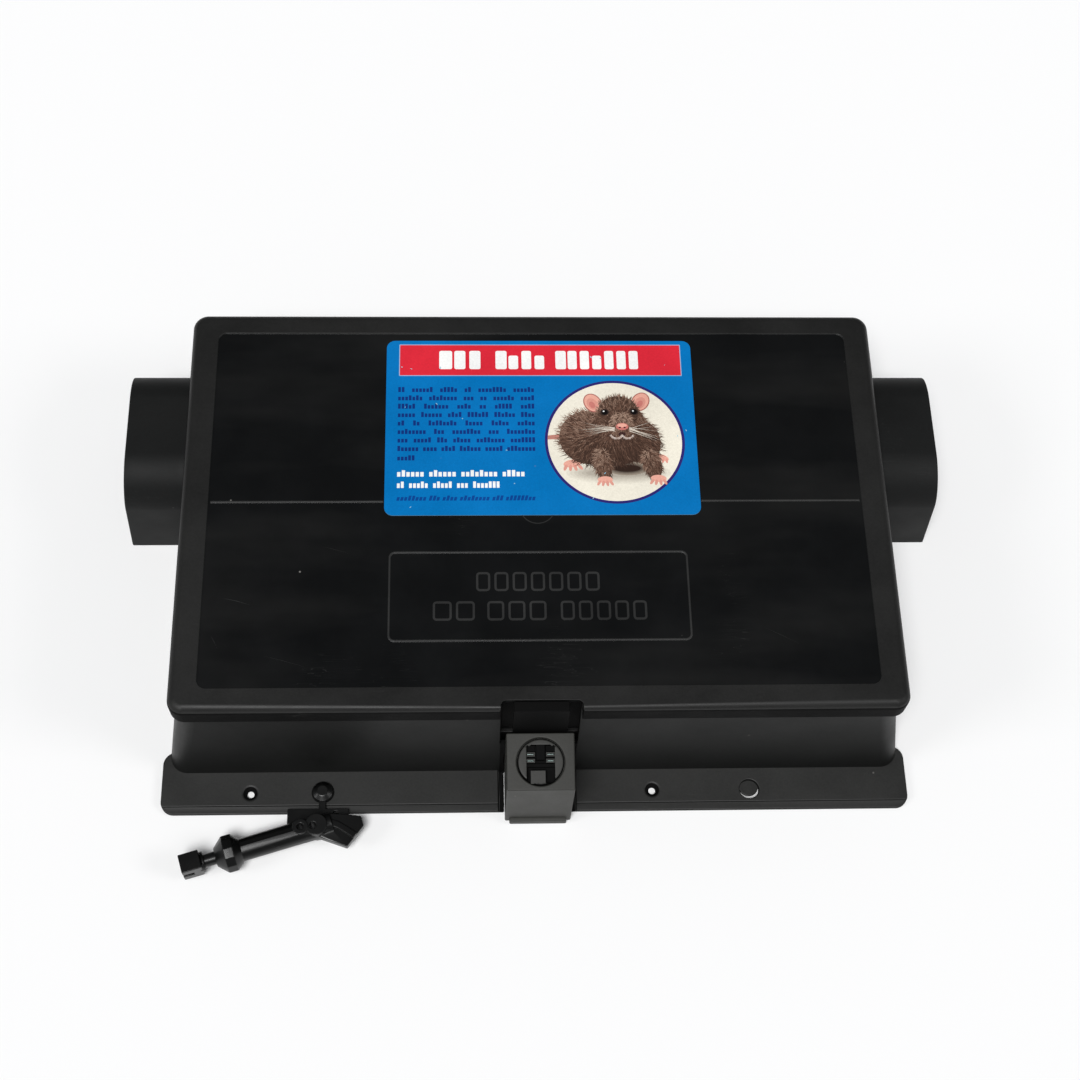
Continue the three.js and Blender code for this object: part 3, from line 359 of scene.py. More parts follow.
looks["printed_vinyl"] = vinyl("printed_vinyl")
looks["zinc_steel"] = metal("zinc_steel", (0.62, 0.63, 0.66), 0.34)
looks["dark_steel"] = metal("dark_steel", (0.16, 0.2, 0.19), 0.38)

SLOT_LOOK = {
    "lock_plastic": "lock_grey",
    "key_plastic": "key_black",
    "inner_plastic": "inner_black",
    "steel": "zinc_steel",
}
NODE_LOOK = {
    # The keeper deep in the lid notch is painted near black: painted shade.
    "lid_keeper": "painted_shade_black",
    "entry_tunnel_left": "tunnel_black",
    "entry_tunnel_right": "tunnel_black",
    "tunnel_collar_left": "tunnel_black",
    "tunnel_collar_right": "tunnel_black",
}


# ---- mesh helpers ----
MERGE_DISTANCE = 0.002
FLAT_WITHIN = math.radians(0.8)


def adopt(piece, *replaced, body=None, slot=None):
    """Puts a finished piece on its body, in place of the nodes it stands for."""
    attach(piece, body or NODE_BODY[replaced[0]])
    if replaced:
        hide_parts(*replaced)


def object_from(bm, name, *look_names, smooth_angle=35.0):
    mesh = bpy.data.meshes.new(name)
    bm.to_mesh(mesh)
    bm.free()
    for look in look_names:
        mesh.materials.append(looks[look])
    mesh.polygons.foreach_set("use_smooth", [True] * len(mesh.polygons))
    mesh.set_sharp_from_angle(angle=math.radians(smooth_angle))
    piece = bpy.data.objects.new(name, mesh)
    scene.collection.objects.link(piece)
    weighted = piece.modifiers.new("even_shading", "WEIGHTED_NORMAL")
    weighted.keep_sharp = True
    return piece


def merged_copy(node):
    """The node's mesh with its loose triangles joined and its flat faces made whole."""
    bm = bmesh.new()
    bm.from_mesh(nodes[node].data)
    bmesh.ops.remove_doubles(bm, verts=bm.verts, dist=MERGE_DISTANCE * MM)
    bmesh.ops.dissolve_limit(bm, angle_limit=FLAT_WITHIN, verts=bm.verts, edges=bm.edges)
    return bm


def outward(edge):
    return edge.is_convex


def round_edges(bm, width, segments=2, least_angle=28.0, chosen=outward):
    """Rounds the sharp edges that chosen(edge) accepts, by width in millimetres."""
    edges = []
    for edge in bm.edges:
        if len(edge.link_faces) != 2 or edge.calc_face_angle(0) < math.radians(least_angle):
            continue
        if chosen(edge):
            edges.append(edge)
    if edges:
        bmesh.ops.bevel(
            bm, geom=edges, offset=width * MM, offset_type="OFFSET", segments=segments,
            profile=0.5, affect="EDGES", clamp_overlap=False,
        )


def softened(node, width):
    bm = merged_copy(node)
    round_edges(bm, width)
    look = NODE_LOOK.get(node) or SLOT_LOOK[NODE_SLOT[node]]
    adopt(object_from(bm, node + "_shape", look), node)


# ---- base ----
# Material indices: walls in painted shade, flange in painted light, near-black painted shade.
WALLS, FLANGE, PAINTED_SHADE = range(3)
FLANGE_TOP = 3.0
FLANGE_BACK = -100.0
SCREW_PLACES = ((-131.0, -112.6), (53.0, -112.6))
SCREW_HEAD_RADIUS = 3.62
RECESS_HALF = 17.3
WALL_FACE = -95.0


def split_at(bm, x):
    geometry = list(bm.verts) + list(bm.edges) + list(bm.faces)
    bmesh.ops.bisect_plane(bm, geom=geometry, plane_co=(x * MM, 0, 0), plane_no=(1, 0, 0))


def in_screw_hole(face, x, y):
    distances = [math.hypot(vert.co.x / MM - x, vert.co.y / MM - y) for vert in face.verts]
    return max(distances) < SCREW_HEAD_RADIUS


def build_base():
    """The base in two painted tones of one plastic, upward flange faces lighter as lit and walls darker as
    shade, with painted shade in the screw holes and the recess round the lock.
    """
    bm = merged_copy("base")
    round_edges(bm, 0.5)
    # Cut the wall where the painted shade round the lock ends.
    for side in (-1, 1):
        split_at(bm, side * RECESS_HALF)
    for face in bm.faces:
        middle = face.calc_center_median() / MM
        on_flange = middle.z < FLANGE_TOP + 0.1 and middle.y < FLANGE_BACK
        recess_shade = middle.y < WALL_FACE and abs(middle.x) < RECESS_HALF
        in_hole = any(in_screw_hole(face, x, y) for x, y in SCREW_PLACES)
        # Recess round the lock and screw holes: painted shade. Upward flange faces: painted light. The
        # rest: walls in painted shade.
        if recess_shade or on_flange and in_hole:
            face.material_index = PAINTED_SHADE
        elif on_flange and face.normal.z > 0.5:
            face.material_index = FLANGE
        else:
            face.material_index = WALLS
    adopt(object_from(bm, "base_shape", "base_walls_painted_shade", "flange_painted_light", "painted_shade_black"), "base")


# ---- outlines and drawn solids, in millimetres ----
def rounded_outline(half_x, half_y, radius, centre=(0, 0), steps=6):
    points = []
    for quarter, (sign_x, sign_y) in enumerate(((1, 1), (-1, 1), (-1, -1), (1, -1))):
        middle_x = centre[0] + sign_x * (half_x - radius)
        middle_y = centre[1] + sign_y * (half_y - radius)
        for step in range(steps + 1):
            angle = math.radians(90) * (quarter + step / steps)
            points.append((middle_x + radius * math.cos(angle), middle_y + radius * math.sin(angle)))
    return points


def ellipse(x, y, radius_x, radius_y, turn=0.0, steps=28, start=0.0, sweep=360.0):
    points = []
    count = steps if sweep >= 360 else steps + 1
    for step in range(count):
        angle = math.radians(start + sweep * step / steps)
        along, across = radius_x * math.cos(angle), radius_y * math.sin(angle)
        lean = math.radians(turn)
        points.append((x + along * math.cos(lean) - across * math.sin(lean),
                       y + along * math.sin(lean) + across * math.cos(lean)))
    return points


def prism(bm, outline, low, high, material=0):
    """Adds a closed prism over an anticlockwise outline and returns its faces."""
    lower = [bm.verts.new((x * MM, y * MM, low * MM)) for x, y in outline]
    upper = [bm.verts.new((x * MM, y * MM, high * MM)) for x, y in outline]
    faces = [bm.faces.new(upper), bm.faces.new(lower[::-1])]
    for here in range(len(outline)):
        ahead = (here + 1) % len(outline)
        faces.append(bm.faces.new((lower[here], lower[ahead], upper[ahead], upper[here])))
    for face in faces:
        face.material_index = material
    return faces


def box(bm, x0, x1, y0, y1, z0, z1, material=0):
    prism(bm, [(x0, y0), (x1, y0), (x1, y1), (x0, y1)], z0, z1, material)


def lathe(bm, profile, sides=64, material=0, matrix=None):
    """Adds a solid of revolution about Z from (radius, height) pairs listed bottom to top."""
    rings = []
    for radius, height in profile:
        if radius == 0:
            rings.append([bm.verts.new((0, 0, height * MM))])
            continue
        ring, reach = [], radius * MM
        for side in range(sides):
            angle = math.tau * side / sides
            ring.append(bm.verts.new((reach * math.cos(angle), reach * math.sin(angle), height * MM)))
        rings.append(ring)
    for lower, upper in zip(rings, rings[1:]):
        for side in range(sides):
            ahead = (side + 1) % sides
            if len(lower) == 1:
                face = bm.faces.new((lower[0], upper[ahead], upper[side]))
            elif len(upper) == 1:
                face = bm.faces.new((lower[side], lower[ahead], upper[0]))
            else:
                face = bm.faces.new((lower[side], lower[ahead], upper[ahead], upper[side]))
            face.material_index = material
    if matrix:
        bmesh.ops.transform(bm, matrix=matrix, verts=[vert for ring in rings for vert in ring])


# ---- lid ----
BORDER, PANEL, RAISED, SKIRT = range(4)
LID_LOOKS = ("lid_border_black", "lid_panel_gloss", "lid_raised_lines", "lid_skirt_painted_shade")
LID_HALF = (160.0, 100.0)
LID_TOP = 75.0
LID_CORNER = 7.0
BRIM_ROUNDING = 4.0
PANEL_HALF = (147.5, 89.0)
PANEL_TOP = 74.4
SLACK = 0.05


def on_lid_brim(edge):
    for vert in edge.verts:
        x, y, z = (abs(vert.co.x) / MM, abs(vert.co.y) / MM, vert.co.z / MM)
        outside = x > LID_HALF[0] - SLACK or y > LID_HALF[1] - SLACK
        past_x, past_y = x - LID_HALF[0] + LID_CORNER, y - LID_HALF[1] + LID_CORNER
        corner = past_x > 0 and past_y > 0 and math.hypot(past_x, past_y) > LID_CORNER - 0.1
        if z < LID_TOP - SLACK or not (outside or corner):
            return False
    return True


def on_lid_top(edge):
    return min(vert.co.z for vert in edge.verts) > (PANEL_TOP - 0.1) * MM


def below_lid_top(edge):
    return max(vert.co.z for vert in edge.verts) < (PANEL_TOP - 0.4) * MM


def on_panel(vert):
    return abs(vert.co.x) / MM < PANEL_HALF[0] + 0.1 and abs(vert.co.y) / MM < PANEL_HALF[1] + 0.1


def build_lid():
    bm = merged_copy("lid")
    round_edges(bm, BRIM_ROUNDING, 7, chosen=on_lid_brim)
    round_edges(bm, 0.22, chosen=on_lid_top)
    round_edges(bm, 0.4, chosen=below_lid_top)
    for face in bm.faces:
        low = min(vert.co.z for vert in face.verts) / MM
        if low > PANEL_TOP - SLACK and all(on_panel(vert) for vert in face.verts):
            raised = face.calc_center_median().z / MM > PANEL_TOP + 0.1
            face.material_index = RAISED if raised else PANEL
        elif face.normal.z < 0.4:
            # Steep skirt faces take the darker skirt black: painted shade under the brim.
            face.material_index = SKIRT
        else:
            face.material_index = BORDER
    add_gate_ring(bm)
    add_raised_rows(bm)
    add_scuffs(bm)
    adopt(object_from(bm, "lid_shape", *LID_LOOKS), "lid")


GATE_RING = ((8.0, 74.35), (7.85, 74.62), (7.55, 74.62), (7.4, 74.35), (8.0, 74.35))
GATE_Y = -3.2


def add_gate_ring(bm):
    """The moulding gate: a fine raised ring, half of it under the label."""
    lathe(bm, GATE_RING, 72, RAISED, Matrix.Translation((0, GATE_Y * MM, 0)))


RAISED_ROWS = (
    (-39.6, ((-28.8, 27.6, 7),)),
    (-53.6, ((-47.8, -27.6, 2), (-24.0, 3.8, 3), (8.2, 48.0, 5))),
)
RAISED_HEIGHT = 9.2
RAISED_GAP = 0.9
RAISED_STROKE = 1.0


def add_raised_rows(bm):
    """Plain raised blocks where the moulding carries its wording."""
    for middle_y, groups in RAISED_ROWS:
        for start, end, count in groups:
            pitch = (end - start) / count
            for index in range(count):
                left = start + index * pitch + RAISED_GAP
                raised_block(bm, left, start + (index + 1) * pitch - RAISED_GAP, middle_y)


SCUFFS = (
    (-138.7, -46.8, -126.4, -50.2, 0.22),
    (-143.0, -64.0, -139.5, -70.5, 0.12),
    (-120.0, -74.0, -101.0, -79.5, 0.08),
    (98.0, -62.0, 113.0, -70.0, 0.08),
    (-96.0, -22.0, -84.0, -25.5, 0.08),
)


def add_scuffs(bm):
    """Fine raised burrs along the few deeper scratches."""
    for x0, y0, x1, y1, width in SCUFFS:
        across = Vector((y0 - y1, x1 - x0)).normalized() * width / 2
        middle = ((x0 + x1) / 2 + across.x * 3, (y0 + y1) / 2 + across.y * 3)
        outline = [(x0, y0), (middle[0] - across.x, middle[1] - across.y), (x1, y1),
                   (middle[0] + across.x, middle[1] + across.y)]
        prism(bm, outline, PANEL_TOP - SLACK, PANEL_TOP + 0.03, RAISED)


def raised_block(bm, left, right, middle_y):
    """A hollow rounded block: a raised outline one stroke wide."""
    middle = ((left + right) / 2, middle_y)
    half_x, half_y = (right - left) / 2, RAISED_HEIGHT / 2
    outer = rounded_outline(half_x, half_y, 1.6, middle, 3)
    inner = rounded_outline(half_x - RAISED_STROKE, half_y - RAISED_STROKE, 0.7, middle, 3)
    top, bottom = PANEL_TOP + 0.28, PANEL_TOP - SLACK
    loops = []
    for outline, height in ((outer, bottom), (outer, top), (inner, top), (inner, bottom)):
        loops.append([bm.verts.new((x * MM, y * MM, height * MM)) for x, y in outline])
    for first, second in zip(loops, loops[1:] + loops[:1]):
        for here in range(len(first)):
            ahead = (here + 1) % len(first)
            face = bm.faces.new((first[here], first[ahead], second[ahead], second[here]))
            face.material_index = RAISED


# ---- printed label ----
INK_LOW = 74.42
LABEL_TOP = 74.76
LABEL_MIDDLE = (2.5, 39.0)
LABEL_HALF = (71.4, 45.9)
LABEL_CORNER = 4.0
# How far each layer of ink stands over the one before, in millimetres.
SHAPE_STEP = 0.0022
BAND_STEP = 0.01
TITLE_STEP = 0.004
FUR_STEP = 0.000006
CHEEK_STEP = 0.00001
WHISKER_STEP = 0.0001
INK_DEPTH = 0.05


def linear(red, green, blue):
    values = []
    for value in (red, green, blue):
        share = value / 255
        values.append(share / 12.92 if share <= 0.04045 else ((share + 0.055) / 1.055) ** 2.4)
    return (*values, 1.0)


BLUE = linear(0, 112, 182)
RED = linear(214, 40, 56)
WHITE = linear(242, 242, 240)
NAVY = linear(14, 48, 118)
DEEP_BLUE = linear(6, 66, 140)
RING = linear(44, 36, 108)
CREAM = linear(236, 230, 214)
PALE_EDGE = linear(120, 176, 208)
SPECK = linear(150, 196, 216)


class Print:
    """Flat coloured shapes stacked on the label, each with its own ink."""

    def __init__(self):
        self.bm = bmesh.new()
        self.ink = self.bm.loops.layers.float_color.new("ink")
        self.level = LABEL_TOP

    def tint(self, faces, color):
        for face in faces:
            for loop in face.loops:
                loop[self.ink] = color

    def shape(self, outline, color, rise=SHAPE_STEP):
        self.level += rise
        faces = prism(self.bm, outline, self.level - INK_DEPTH, self.level)
        self.tint(faces, color)

    def hair(self, x, y, angle, length, width, color, rise):
        self.level += rise
        side = Vector((-math.sin(angle), math.cos(angle))) * width / 2
        tip = (x + math.cos(angle) * length, y + math.sin(angle) * length)
        corners = ((x - side.x, y - side.y), tip, (x + side.x, y + side.y))
        verts = [self.bm.verts.new((along * MM, across * MM, self.level * MM)) for along, across in corners]
        self.tint([self.bm.faces.new(verts)], color)


def blend(first, second, share):
    return tuple(a + (b - a) * share for a, b in zip(first, second))


def word_row(art, rng, start, end, middle, height, letter, color, ragged=False, lean=0.0):
    """One line of plain word bars, cut into blocks, filling start..end."""
    words, used = [], 0.0
    while used < (end - start) - 2 * letter:
        count = rng.randint(2, 8)
        width = count * letter
        words.append(count)
        used += width + 1.6 * letter
    gaps = max(1, len(words) - 1)
    blocks = sum(words) * letter
    space = (end - start - blocks) / gaps
    if ragged or space < 0.5 * letter:
        squeeze = (end - start - gaps * letter) / blocks
        space = letter
    else:
        squeeze = 1.0
    x = start
    for count in words:
        for _ in range(count):
            tall = height * (1.4 if rng.random() < 0.3 else 1.0)
            right = x + letter * squeeze * 0.72
            y0, y1 = middle - height / 2, middle - height / 2 + tall
            shift0, shift1 = lean * (y0 - middle), lean * (y1 - middle)
            lower = [(x + shift0, y0), (right + shift0, y0)]
            upper = [(right + shift1, y1), (x + shift1, y1)]
            art.shape(lower + upper, color, 0)
            x += letter * squeeze
        x += space


TITLE_WORDS = ((-44.4, -23.3, 3), (-18.1, 6.3, 4), (10.0, 50.3, 7))


def draw_words(art):
    rng = random.Random(7)
    art.shape(rounded_outline(66.1, 8.6, 0.4, (3.0, 74.3)), blend(BLUE, WHITE, 0.35))
    art.shape(rounded_outline(65.7, 8.2, 0.3, (3.0, 74.3)), RED)
    art.level += BAND_STEP
    for start, end, count in TITLE_WORDS:
        pitch = (end - start) / count
        for index in range(count):
            tall = 10.0 if index == 0 or rng.random() < 0.45 else 7.4
            left = start + index * pitch
            width = pitch * (0.86 if index == 0 else 0.74)
            outline = rounded_outline(width / 2, tall / 2, 0.9, (left + width / 2, 69.4 + tall / 2), 3)
            art.shape(outline, WHITE, 0)
    art.level += TITLE_STEP
    for row in range(8):
        word_row(art, rng, -63.3, 0.0, 58.0 - row * 4.45, 1.9, 1.65, NAVY)
    word_row(art, rng, -63.3, -53.0, 22.0, 1.9, 1.65, NAVY)
    word_row(art, rng, -63.3, -5.0, 13.9, 2.3, 1.95, WHITE, True)
    word_row(art, rng, -63.3, -16.5, 8.1, 2.3, 1.95, WHITE, True)
    word_row(art, rng, -63.3, -0.5, 1.4, 1.8, 1.7, DEEP_BLUE, False, 0.25)


PICTURE = (36.3, 30.9)
FUR_DARK = linear(50, 36, 30)
FUR_MID = linear(108, 80, 66)
FUR_LIGHT = linear(172, 144, 126)
SKIN = linear(232, 170, 152)
SKIN_DARK = linear(196, 116, 108)
SHADOW = linear(150, 140, 128)
CHEST_SHADOW = linear(150, 138, 124)
EYE_RIM = linear(52, 40, 36)
EYE = linear(12, 9, 10)
NOSTRIL = linear(70, 34, 36)
MOUTH = linear(60, 38, 36)
WHISKER = linear(218, 208, 194)
TOES = 4


def fur_color(shade):
    if shade < 0.5:
        return blend(FUR_DARK, FUR_MID, shade * 2)
    return blend(FUR_MID, FUR_LIGHT, shade * 2 - 1)


def fur_patch(art, rng, x, y, radius_x, radius_y, turn, count, flow, tone, length):
    """Fills an ellipse with hairs that run outwards and along the flow direction."""
    centre_x, centre_y = PICTURE[0] + x, PICTURE[1] + y
    under = blend(FUR_DARK, FUR_MID, tone * 0.6)
    art.shape(ellipse(centre_x, centre_y, radius_x * 0.97, radius_y * 0.97, turn), under)
    lean = math.radians(turn)
    spots = []
    for _ in range(count):
        reach, angle = math.sqrt(rng.random()), rng.uniform(0, math.tau)
        along, across = reach * radius_x * math.cos(angle), reach * radius_y * math.sin(angle)
        spots.append((reach, along * math.cos(lean) - across * math.sin(lean),
                      along * math.sin(lean) + across * math.cos(lean)))
    spots.sort(key=lambda spot: -spot[0])
    along_flow = Vector((math.cos(flow), math.sin(flow)))
    for reach, offset_x, offset_y in spots:
        out = math.atan2(offset_y, offset_x)
        wanted = along_flow + 1.1 * reach * Vector((math.cos(out), math.sin(out)))
        direction = math.atan2(wanted.y, wanted.x) + rng.gauss(0, 0.28)
        shade = tone + 0.24 * offset_y / radius_y - 0.1 * offset_x / radius_x + rng.gauss(0, 0.2)
        color = fur_color(min(1.0, max(0.0, shade)))
        art.hair(centre_x + offset_x, centre_y + offset_y, direction, length * rng.uniform(0.6, 1.2),
                 rng.uniform(0.22, 0.42), color, FUR_STEP)


def foot(art, x, y, turn, size):
    x, y = PICTURE[0] + x, PICTURE[1] + y
    art.shape(ellipse(x, y, 3.0 * size, 1.5 * size, turn), SKIN)
    for toe in range(TOES):
        share = toe / (TOES - 1) - 0.5
        angle = math.radians(turn - 90 + 60 * share)
        toe_x = x + 3.4 * size * share + 1.6 * size * math.cos(angle)
        toe_y = y + 1.7 * size * math.sin(angle)
        outline = ellipse(toe_x, toe_y, 1.25 * size, 0.55 * size, math.degrees(angle))
        art.shape(outline, blend(SKIN, SKIN_DARK, 0.35))


# Offset, radii and colour of each layer of an ear.
EAR_LAYERS = (
    (0.0, 0.0, 5.2, 4.1, blend(SKIN_DARK, FUR_MID, 0.35)),
    (0.0, 0.0, 4.7, 3.6, SKIN),
    (-0.2, -0.6, 3.3, 2.4, blend(SKIN, SKIN_DARK, 0.45)),
    (-0.3, -1.1, 1.9, 1.3, blend(SKIN, SKIN_DARK, 0.9)),
)


def ear(art, x, y, turn):
    x, y = PICTURE[0] + x, PICTURE[1] + y
    for offset_x, offset_y, radius_x, radius_y, color in EAR_LAYERS:
        art.shape(ellipse(x + offset_x, y + offset_y, radius_x, radius_y, turn), color)


def draw_rodent(art):
    rng = random.Random(21)
    middle_x, middle_y = PICTURE
    art.shape(ellipse(middle_x, middle_y, 32.2, 32.2, steps=96), RING)
    art.shape(ellipse(middle_x, middle_y, 30.9, 30.9, steps=96), CREAM)
    for step in range(6):
        share = step / 5
        outline = ellipse(middle_x + 1.0, middle_y - 16.5, 24 - 9 * share, 5.6 - 3.4 * share)
        art.shape(outline, blend(CREAM, SHADOW, 0.14 + 0.6 * share))
    tail = [(-31.0, 0.9), (-23.0, 1.2), (-23.0, 4.0), (-30.8, 3.0)]
    art.shape([(middle_x + x, middle_y + y) for x, y in tail], blend(SKIN_DARK, FUR_LIGHT, 0.4))
    foot(art, -20.0, -11.6, 8, 1.35)
    foot(art, 21.5, -8.6, -25, 1.0)
    fur_patch(art, rng, -12.0, 2.0, 14.0, 14.5, 0, 1500, math.radians(170), 0.42, 3.0)
    fur_patch(art, rng, 8.5, -1.0, 13.0, 14.0, 0, 1200, math.radians(-60), 0.36, 3.0)
    for step in range(5):
        outline = ellipse(middle_x + 5.0, middle_y - 14.2, 9.5 - 0.8 * step, 3.6 - 0.45 * step)
        art.shape(outline, blend(CHEST_SHADOW, FUR_DARK, step / 4))
    fur_patch(art, rng, -3.0, -4.0, 17.0, 9.5, 0, 900, math.radians(-100), 0.3, 2.8)
    fur_patch(art, rng, -6.0, -12.0, 4.2, 8.0, 8, 420, math.radians(-95), 0.55, 2.2)
    fur_patch(art, rng, 16.6, -12.0, 4.4, 7.6, 14, 420, math.radians(-80), 0.5, 2.2)
    foot(art, -5.2, -20.0, 0, 1.15)
    foot(art, 19.2, -19.4, -4, 1.2)
    ear(art, -9.6, 20.2, 118)
    ear(art, 12.6, 20.8, 62)
    fur_patch(art, rng, 2.2, 9.5, 12.4, 11.4, 0, 1300, math.radians(-90), 0.44, 2.4)
    fur_patch(art, rng, 2.0, 15.5, 9.6, 8.6, 0, 900, math.radians(90), 0.4, 1.9)
    fur_patch(art, rng, 3.4, 8.6, 5.6, 6.6, 0, 600, math.radians(-90), 0.72, 1.3)
    draw_face(art, rng)


def draw_face(art, rng):
    middle_x, middle_y = PICTURE
    for x, y in ((-4.2, 15.2), (9.4, 15.4)):
        art.shape(ellipse(middle_x + x, middle_y + y, 2.1, 1.7, 12 if x < 0 else -12), EYE_RIM)
        art.shape(ellipse(middle_x + x, middle_y + y, 1.45, 1.35), EYE)
        art.shape(ellipse(middle_x + x - 0.45, middle_y + y + 0.5, 0.42, 0.36), WHITE)
    art.shape(ellipse(middle_x + 3.6, middle_y + 7.6, 2.9, 1.9), SKIN_DARK)
    art.shape(ellipse(middle_x + 3.6, middle_y + 8.2, 2.2, 1.0), SKIN)
    for x in (2.5, 4.7):
        art.shape(ellipse(middle_x + x, middle_y + 7.1, 0.55, 0.4), NOSTRIL)
    art.shape(ellipse(middle_x + 3.4, middle_y + 3.6, 1.7, 1.1), MOUTH)
    for side in (-1, 1):
        for _ in range(150):
            angle = math.radians(rng.uniform(200, 340))
            x = middle_x + 3.4 + side * 2.6 + 2.4 * math.cos(angle)
            y = middle_y + 4.2 + 2.4 * math.sin(angle)
            length, paler = rng.uniform(0.6, 1.4), rng.random() * 0.6
            art.hair(x, y, angle, length, 0.25, blend(FUR_LIGHT, WHITE, paler), CHEEK_STEP)
        for _ in range(12):
            angle = rng.uniform(-26, 20)
            angle = math.radians(angle if side > 0 else 180 - angle)
            x, y = middle_x + 3.5 + side * 3.4, middle_y + 6.0 + rng.uniform(-1.2, 1.2)
            art.hair(x, y, angle, rng.uniform(11, 18), 0.24, WHISKER, WHISKER_STEP)


def build_label():
    art = Print()
    outline = rounded_outline(*LABEL_HALF, LABEL_CORNER, LABEL_MIDDLE, 10)
    faces = prism(art.bm, outline, INK_LOW, LABEL_TOP)
    art.tint(faces, BLUE)
    art.tint(faces[2:], PALE_EDGE)
    draw_words(art)
    draw_rodent(art)
    rng = random.Random(3)
    for _ in range(16):
        x, y = rng.uniform(-66, 70), rng.uniform(-4, 82)
        outline = ellipse(x, y, rng.uniform(0.2, 0.65), rng.uniform(0.12, 0.3), rng.uniform(0, 180), 6)
        art.shape(outline, SPECK)
    adopt(object_from(art.bm, "label_shape", "printed_vinyl", smooth_angle=20), "label")


# ---- lock barrel ----
# Material index of the near-black painted shade in the key slot and the housing gap.
POCKET_SHADE = 1
BARREL_FACE = Vector((0, -113.7, 47.26)) * MM
BARREL_TILT = math.radians(10)
BARREL_PLACE = Matrix.Translation(BARREL_FACE) @ Matrix.Rotation(BARREL_TILT, 4, "X")
BARREL_PROFILE = (
    (0, -9.2), (6.4, -9.2), (6.5, -9.0), (6.5, -5.1), (10.7, -5.1), (10.9, -4.9), (10.9, -2.7),
    (10.7, -2.5), (10.3, -2.5), (10.3, -1.1), (10.0, -0.3), (9.6, 0), (0, 0),
)
PIN_PROFILE = ((0, -1.5), (0.34, -1.4), (0.42, -1.2), (0.42, 1.2), (0.34, 1.4), (0, 1.5))
PIN_PLACES = ((3.5, -1.75), (0.6, -1.45))
POCKET_FLOOR = -4.4


def carved(name, bm, cutter, *materials):
    """Cuts one drawn solid out of another and hands back the result as a fresh mesh."""
    blocks = []
    for label, drawn in ((name + "_body", bm), (name + "_cutter", cutter)):
        mesh = bpy.data.meshes.new(label)
        drawn.to_mesh(mesh)
        drawn.free()
        block = bpy.data.objects.new(label, mesh)
        scene.collection.objects.link(block)
        blocks.append(block)
    body, knife = blocks
    cut = body.modifiers.new("cut", "BOOLEAN")
    cut.operation = "DIFFERENCE"
    cut.solver = "EXACT"
    cut.object = knife
    bpy.context.view_layer.update()
    result = bpy.data.meshes.new_from_object(body.evaluated_get(bpy.context.evaluated_depsgraph_get()))
    fresh = bmesh.new()
    fresh.from_mesh(result)
    for block in blocks:
        mesh = block.data
        bpy.data.objects.remove(block)
        bpy.data.meshes.remove(mesh)
    bpy.data.meshes.remove(result)
    return fresh


def on_barrel_face(edge):
    return min(vert.co.z for vert in edge.verts) > -0.01 * MM


def in_pocket(edge):
    for vert in edge.verts:
        x, y, z = vert.co / MM
        if abs(x) > 6.1 or not -9.3 < y < 7.4 or z < POCKET_FLOOR + 0.1:
            return False
    return True


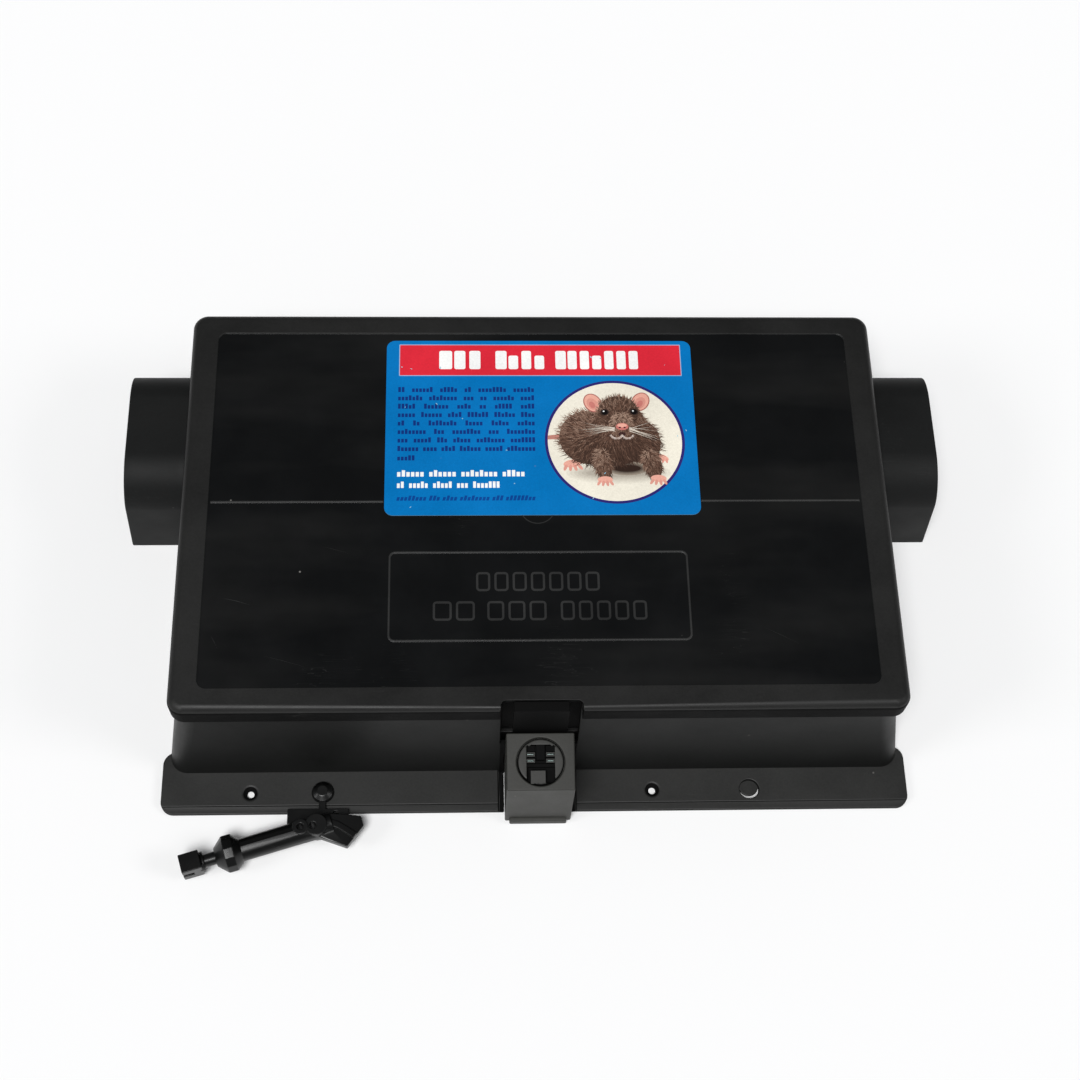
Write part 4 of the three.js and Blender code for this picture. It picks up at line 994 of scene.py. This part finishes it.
def build_barrel():
    body = bmesh.new()
    lathe(body, BARREL_PROFILE, 72)
    knife = bmesh.new()
    prism(knife, rounded_outline(6.2, 8.45, 0.9, (0, -0.95), 3), POCKET_FLOOR, 2)
    bm = carved("barrel", body, knife)
    round_edges(bm, 0.25, chosen=on_barrel_face)
    floor = POCKET_FLOOR - 0.2
    # Rib, cross bars and rear steps in the key slot take the painted shade.
    box(bm, -1.8, 1.8, 1.0, 7.6, floor, -0.8, POCKET_SHADE)
    box(bm, -6.4, 6.4, -2.0, -0.7, floor, -2.2, POCKET_SHADE)
    box(bm, -4.4, 2.0, -9.6, -3.9, floor, -0.25)
    for side in (-1, 1):
        x0, x1 = sorted((side * 2.5, side * 6.4))
        box(bm, x0, x1, 2.6, 4.4, floor, -1.9)
        box(bm, x0, x1, -0.2, 1.5, floor, -1.6)
        box(bm, x0, x1, 5.0, 7.6, floor, -3.2, POCKET_SHADE)
    add_crescent(bm)
    round_edges(bm, 0.22, least_angle=60, chosen=in_pocket)
    # Pocket walls and floor, and the barrel's rim by the gap to the housing, are painted near black as
    # shade.
    for face in bm.faces:
        middle = face.calc_center_median() / MM
        shaded_pocket = -4.6 < middle.z < -0.5 and abs(middle.x) < 6.5 and -9.6 < middle.y < 7.8
        rim = math.hypot(middle.x, middle.y) > 9.7 and -2.4 < middle.z < -0.1
        if rim or shaded_pocket and face.normal.z < 0.9 or abs(middle.z - POCKET_FLOOR) < 0.05:
            face.material_index = POCKET_SHADE
    bmesh.ops.transform(bm, matrix=BARREL_PLACE, verts=bm.verts)
    adopt(object_from(bm, "lock_barrel_shape", "barrel_grey", "painted_shade_black"), "lock_barrel")
    pins = bmesh.new()
    for side in (-1, 1):
        for y, z in PIN_PLACES:
            place = Matrix.Translation((side * 4.4 * MM, y * MM, z * MM))
            lathe(pins, PIN_PROFILE, 12, 0, place @ Matrix.Rotation(math.pi / 2, 4, "Y"))
    bmesh.ops.transform(pins, matrix=BARREL_PLACE, verts=pins.verts)
    adopt(object_from(pins, "lock_barrel_pins", "dark_steel"), body="lock", slot="steel")


def add_crescent(bm):
    """A raised rim over the end of the key slot."""
    outline = ellipse(0, 0, 9.3, 9.3, steps=14, start=52, sweep=76)
    outline += ellipse(0, 0.4, 8.2, 8.2, steps=14, start=128, sweep=-76)
    prism(bm, outline, -0.2, 0.28)


# ---- plain moulded pieces, with the width of their rounding ----
SOFT_EDGES = {
    "entry_tunnel_left": 0.7,
    "entry_tunnel_right": 0.7,
    "tunnel_collar_left": 0.4,
    "tunnel_collar_right": 0.4,
    "lock_housing": 0.6,
    "lock_cam": 0.3,
    "lid_keeper": 0.4,
    "bait_tray": 0.4,
    "tray_divider": 0.4,
    "rod_bracket_left": 0.35,
    "rod_bracket_right": 0.35,
    "baffle_left": 0.5,
    "baffle_right": 0.5,
    "runway_baffle_left": 0.5,
    "runway_baffle_right": 0.5,
    "key": 0.35,
    "key_tether": 0.3,
    "keeper_screw_left": 0.2,
    "keeper_screw_right": 0.2,
    "lock_cam_screw": 0.2,
    "bait_rod_front": 0.3,
    "bait_rod_rear": 0.3,
    "hinge_pin_left": 0.2,
    "hinge_pin_right": 0.2,
}

# ---- the whole scene ----
make_camera()
make_stage()
build_lid()
build_label()
build_barrel()
build_base()
for node, width in SOFT_EDGES.items():
    softened(node, width)
